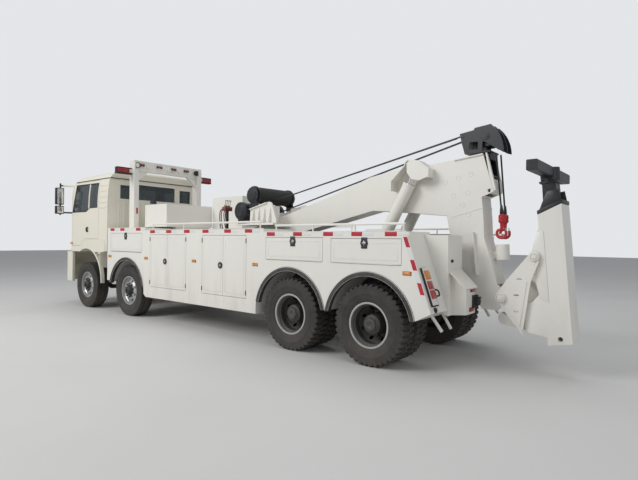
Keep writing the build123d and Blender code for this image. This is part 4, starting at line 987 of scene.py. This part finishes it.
# Boom, mast and winches. The drums' places are x and z of their axes.
UPPER_DRUM = (2.99, 2.43)
LOWER_DRUM = (3.295, 2.148)
ROPE_RADIUS = 0.0112


def weld_marks():
    """Plug welds on the mast's side plates."""
    ring = [(-0.0005, 0.036), (0.003, 0.035), (0.004, 0.031), (0.003, 0.027), (-0.0005, 0.026)]
    marks = Piece()
    for x, z in ((-0.559, 2.446), (-0.745, 2.486), (-0.924, 2.526), (-0.683, 2.247), (-0.886, 2.283),
                 (-0.811, 2.119), (-0.895, 1.99)):
        marks.turned(ring, (x, BOOM_SIDE, z), sides=24)
    marks.on_both_sides().keep("plug_welds", "boom", boom_paint, "boom_paint")


def wound_drum(drum, half):
    """Rope laid in turns beside each other on a drum, as far as half to each side."""
    x, z = drum
    radius = 0.139
    pitch = 0.0225
    outline = []
    for index in range(int(2 * half / pitch)):
        middle = -half + pitch * (index + 0.5)
        for step in range(5):
            angle = math.pi * (0.08 + 0.21 * step)
            outline.append((middle - math.cos(angle) * pitch / 2, radius + math.sin(angle) * 0.011))
    return Piece().turned(outline, (x, 0, z), sides=36)


def winches():
    wound_drum(UPPER_DRUM, 0.415).keep("rope_on_upper_drum", "boom", rope_wire, "rope_steel")
    wound_drum(LOWER_DRUM, 0.425).keep("rope_on_lower_drum", "boom", rope_wire, "rope_steel")
    covers = Piece()
    for (x, z), y in ((LOWER_DRUM, 0.5), (UPPER_DRUM, 0.485)):
        covers.turned([(y, 0.15), (y + 0.012, 0.14), (y + 0.016, 0.11), (y + 0.03, 0.1),
                       (y + 0.034, 0.06), (y + 0.034, 0.0)], (x, 0, z), sides=36)
        covers.bolts(12, x, (y + 0.008, y + 0.022), z, 0.128, 0.009)
    covers.on_both_sides().keep("winch_covers", "boom", winch_black, "winch_black")


def taut_ropes():
    """Ropes from the drums to the head."""
    for name, (x, z), y in (("upper", UPPER_DRUM, ROPE_Y), ("lower", LOWER_DRUM, -ROPE_Y)):
        start = (x, y, z - 0.12)
        end = (-1.087, y, 3.126)
        rope = Piece().rod(start, end, ROPE_RADIUS, sides=12)
        made = rope.keep(f"taut_rope_{name}", None, rope_wire, "rope_steel")
        at(*start)
        at(*end)
        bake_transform(made)


HOOK_X = -1.3
HOOK_Y = 0.0675


def rope_falls():
    """Ropes from the head to the hooks on the stow bar."""
    falls = Piece()
    top = (-1.228, 0.0, 2.785)
    low = (HOOK_X + 0.002, 0.0, 1.988)
    for sign in (1, -1):
        falls.rod((top[0], sign * ROPE_Y, top[2]), (low[0], sign * HOOK_Y, low[2]), ROPE_RADIUS, sides=16)
    made = falls.keep("rope_falls", None, rope_wire, "rope_steel", ["hoist_ropes"])
    at(*low)
    at(*top)
    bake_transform(made)


def hoist_hooks():
    """Hook blocks: a swivel housing under each rope's socket, and the hook with its safety latch."""
    housings = Piece()
    sockets = Piece()
    latches = Piece()
    for side, sign in SIDES:
        y = sign * HOOK_Y
        housings.turned([(0.0, 0.0), (0.0, 0.02), (0.006, 0.026), (0.014, 0.04), (0.056, 0.043),
                         (0.062, 0.038), (0.068, 0.038), (0.074, 0.043), (0.104, 0.041), (0.116, 0.03),
                         (0.118, 0.024), (0.14, 0.022), (0.205, 0.019), (0.205, 0.0)],
                        (HOOK_X, y, 1.986), axis=(0, 0, -1), sides=28)
        sockets.turned([(0.0, 0.0), (0.0, 0.022), (0.004, 0.024), (0.06, 0.02), (0.105, 0.0145),
                        (0.112, 0.0125), (0.112, 0.0)], (HOOK_X + 0.003, y * 1.02, 1.986),
                       axis=(0.02, sign * 0.03, 1), sides=20)
        latches.block((HOOK_X - 0.052, y - 0.009, 1.756), (HOOK_X - 0.046, y + 0.009, 1.8), 0.002)
        pivot = HOOK_X - 0.049
        latches.rod((pivot, y - 0.014, 1.797), (pivot, y + 0.014, 1.797), 0.006, sides=12)
        bow = [(HOOK_X + dx, y, z) for dx, z in ((0.0, 1.8), (0.004, 1.784), (0.052, 1.779),
                                                 (0.066, 1.723), (0.034, 1.675), (-0.034, 1.675),
                                                 (-0.064, 1.725), (-0.05, 1.769))]
        pipe(f"hook_bow_{side}", bow, 0.0175, "boom", hook_paint, bent=True)
    housings.keep("hook_housings", "boom", hook_paint, "hook_red", ["hooks"])
    sockets.keep("rope_sockets", "boom", winch_black, "winch_black")
    latches.keep("hook_latches", "boom", bare_steel, "rope_steel")


def tank_cap():
    """Filler neck and cap on the tank behind the cab."""
    centre = (5.9, 0.7, 2.34)
    neck = Piece().turned([(-0.01, 0.06), (0.03, 0.06), (0.034, 0.056), (0.034, 0.0)],
                          centre, **UPWARDS, sides=32)
    neck.keep("filler_neck", "chassis", bare_steel, "rope_steel")
    cap = Piece().turned([(0.034, 0.066), (0.082, 0.066), (0.092, 0.06), (0.096, 0.04), (0.096, 0.0)],
                         centre, **UPWARDS, sides=36)
    cap.block((5.85, 0.692, 2.432), (5.95, 0.708, 2.448), 0.003)
    cap.keep("filler_cap", "chassis", black_trim, "frame_paint")


def deck_valve():
    """Winch control valve on its post at the deck's rear edge."""
    x, y, top = 3.95, 0.27, 2.25
    post = Piece().block((x - 0.06, y - 0.06, 1.74), (x + 0.06, y + 0.06, 1.752), 0.002)
    post.block((x - 0.022, y - 0.022, 1.748), (x + 0.022, y + 0.022, top - 0.06), 0.003)
    for dx in (-0.045, 0.045):
        for dy in (-0.045, 0.045):
            post.rod((x + dx, y + dy, 1.75), (x + dx, y + dy, 1.762), 0.008, sides=6)
    post.keep("valve_post", "chassis", frame_black, "frame_paint")
    body = Piece().block((x - 0.05, y - 0.09, top - 0.07), (x + 0.05, y + 0.09, top + 0.01), 0.006)
    levers = Piece()
    for lever_y in (y - 0.06, y - 0.02, y + 0.02, y + 0.06):
        body.rod((x, lever_y, top + 0.006), (x, lever_y, top + 0.04), 0.014, sides=16, edge=0.002)
        levers.rod((x, lever_y, top + 0.036), (x - 0.03, lever_y, top + 0.125), 0.0045, sides=10)
        levers.ball((x - 0.031, lever_y, top + 0.13), 0.012)
    body.keep("valve_body", "chassis", oxide_paint, "hook_red")
    levers.keep("valve_levers", "chassis", black_trim, "frame_paint")
    for index, dy in enumerate((-0.065, -0.03, 0.03, 0.065)):
        hose = [(x + 0.048, y + dy, top - 0.03), (x + 0.11, y + dy, top - 0.03),
                (x + 0.15, y + dy * 1.1, top - 0.12), (x + 0.12, y + dy * 1.2, top - 0.33),
                (x + 0.07, y + dy * 1.3, 1.8), (x + 0.07, y + dy * 1.3, 1.738)]
        pipe(f"valve_hose_{index + 1}", hose, 0.0095, "chassis", hose_rubber, bent=True)


def pin_keepers():
    """Keeper plates with their bolts on the underlift's pins."""
    steps = ((0.0, 0.0), (0.01, 0.002), (0.012, 0.006), (0.012, 0.012), (0.002, 0.015), (0.002, 0.021),
             (0.014, 0.023), (0.016, 0.027))
    for name, x, z, y, radius in (("fold", -1.362, 0.925, 0.293, 0.058),
                                  ("tilt", -1.752, 1.447, 0.2685, 0.053)):
        outline = [(y + out, radius - inwards) for out, inwards in steps] + [(y + 0.016, 0.0)]
        keeper = Piece().turned(outline, (x, 0, z), sides=40)
        keeper.bolts(3, x, (y + 0.014, y + 0.024), z, 0.018, 0.006)
        keeper.on_both_sides().keep(f"{name}_pin_keepers", "underlift_knuckle", boom_paint, "boom_paint")


def column_doublers():
    """Doubler plates on the column's sides."""
    outline = [(-1.767, 1.747), (-1.837, 1.759), (-1.909, 0.903), (-1.814, 0.945), (-1.757, 1.145),
               (-1.7, 1.4), (-1.7, 1.49)]
    Piece().side_plate(outline, (0.2045, 0.213), 0.002).on_both_sides().keep(
        "column_doublers", "underlift_arm", boom_paint, "boom_paint")


def stem_flange():
    """Flange of the crossbar's stem, on the arm's sloping top, with its gussets."""
    outline = [(-2.0387, 2.0911), (-1.7604, 1.9627), (-1.7566, 2.0075), (-2.035, 2.1359)]
    flange = Piece().side_plate(outline, (-0.19, 0.19), 0.003)
    gusset = [(-2.02, 2.12), (-1.775, 2.006), (-1.86, 2.24), (-1.99, 2.262)]
    for y in (-0.172, 0.16):
        flange.side_plate(gusset, (y, y + 0.012), 0.002)
    flange.keep("stem_flange", "underlift_extension", frame_black, "frame_paint")


def driveshafts():
    """Shafts from the gearbox to the driven axles, with their joints, and the carrier between them."""
    places = [(6.955, 0.73), (4.3, 0.7), (1.69, 0.59)]
    shafts = Piece()
    for (x0, z0), (x1, z1) in zip(places, places[1:]):
        shafts.rod((x0 - 0.1, 0, z0), (x1 + 0.1, 0, z1), 0.048, edge=0.004)
        shafts.rod((x0, 0, z0), (x0 - 0.13, 0, z0), 0.036)
        shafts.rod((x1, 0, z1), (x1 + 0.13, 0, z1), 0.036)
    for x, z in places:
        shafts.rod((x - 0.03, 0, z), (x + 0.012, 0, z), 0.072, edge=0.004)
    shafts.block((4.262, -0.11, 0.69), (4.338, 0.11, 0.72), 0.006)
    for y in (-0.095, 0.095):
        shafts.block((4.268, y - 0.012, 0.7), (4.332, y + 0.012, 0.805), 0.004)
    shafts.rod((1.3, 0, 0.69), (0.3, 0, 0.6), 0.04, edge=0.004)
    shafts.keep("driveshafts", "chassis", frame_black, "frame_paint")


weld_marks()
driveshafts()
winches()
taut_ropes()
rope_falls()
hoist_hooks()
tank_cap()
deck_valve()
pin_keepers()
column_doublers()
stem_flange()


# Floor, light and camera
def floor():
    stand = bmesh.new()
    bmesh.ops.create_grid(stand, x_segments=1, y_segments=1, size=60.0)
    mesh = bpy.data.meshes.new("floor")
    stand.to_mesh(mesh)
    stand.free()
    concrete = Finish("floor_concrete", (0.6, 0.59, 0.57), 0.9)
    blotches = concrete.noise(0.6, 6.0)
    concrete.coloured(blotches, (0.57, 0.56, 0.54), (0.64, 0.63, 0.61))
    mesh.materials.append(concrete.material)
    made = bpy.data.objects.new("floor", mesh)
    bpy.context.scene.collection.objects.link(made)


def lights():
    """A pale sky that lights the truck, a greyer one for the camera to see, and three area lamps."""
    world = bpy.data.worlds.new("studio")
    world.use_nodes = True
    bpy.context.scene.world = world
    tree = world.node_tree
    background = tree.nodes["Background"]
    background.inputs["Color"].default_value = (0.9, 0.94, 1.0, 1.0)
    background.inputs["Strength"].default_value = 0.45
    seen = tree.nodes.new("ShaderNodeBackground")
    seen.inputs["Color"].default_value = (0.84, 0.86, 0.88, 1.0)
    seen.inputs["Strength"].default_value = 0.92
    path = tree.nodes.new("ShaderNodeLightPath")
    mix = tree.nodes.new("ShaderNodeMixShader")
    rays = tree.nodes.new("ShaderNodeMath")
    rays.operation = "MAXIMUM"
    for source, target in ((path.outputs["Is Camera Ray"], rays.inputs[0]),
                           (path.outputs["Is Transmission Ray"], rays.inputs[1]),
                           (rays.outputs[0], mix.inputs[0]), (background.outputs[0], mix.inputs[1]),
                           (seen.outputs[0], mix.inputs[2]),
                           (mix.outputs[0], tree.nodes["World Output"].inputs[0])):
        tree.links.new(source, target)
    for name, place, aim, size, power in (
        ("key", (8.0, 14.0, 11.0), (2.0, 0.0, 1.0), 8.0, 1520.0),
        ("fill", (-14.0, 6.0, 8.0), (0.0, 0.0, 1.0), 10.0, 250.0),
        ("top", (3.0, -2.0, 14.0), (3.0, 0.0, 0.0), 14.0, 560.0),
    ):
        lamp = bpy.data.lights.new(name, "AREA")
        lamp.size = size
        lamp.energy = power
        made = bpy.data.objects.new(name, lamp)
        made.location = at(*place)
        made.rotation_euler = (at(*aim) - at(*place)).to_track_quat("-Z", "Y").to_euler()
        bpy.context.scene.collection.objects.link(made)


CAMERA_PLACE = (-3.34, 6.298, 1.611)
CAMERA_YAW = 50.658
CAMERA_PITCH = 0.11
CAMERA_ROLL = 0.6157
FOCAL_PIXELS = 470.46
PHOTO_WIDTH = 638


def camera():
    """The photograph's camera, solved from the truck's straight edges."""
    data = bpy.data.cameras.new("photo_camera")
    data.sensor_width = 36.0
    data.lens = FOCAL_PIXELS / PHOTO_WIDTH * data.sensor_width
    made = bpy.data.objects.new("photo_camera", data)
    yaw = math.radians(CAMERA_YAW)
    pitch = math.radians(CAMERA_PITCH)
    ahead = Vector((math.cos(yaw) * math.cos(pitch), -math.sin(yaw) * math.cos(pitch), math.sin(pitch)))
    level = ahead.cross(Vector((0, 0, 1))).normalized()
    upright = level.cross(ahead)
    roll = math.radians(CAMERA_ROLL)
    right = level * math.cos(roll) + upright * math.sin(roll)
    up = upright * math.cos(roll) - level * math.sin(roll)
    turn = Matrix((right, up, -ahead)).transposed().to_4x4()
    made.matrix_world = Matrix.Translation(at(*CAMERA_PLACE)) @ turn
    bpy.context.scene.collection.objects.link(made)
    bpy.context.scene.camera = made


floor()
lights()
camera()
bpy.context.scene.view_settings.view_transform = "Standard"
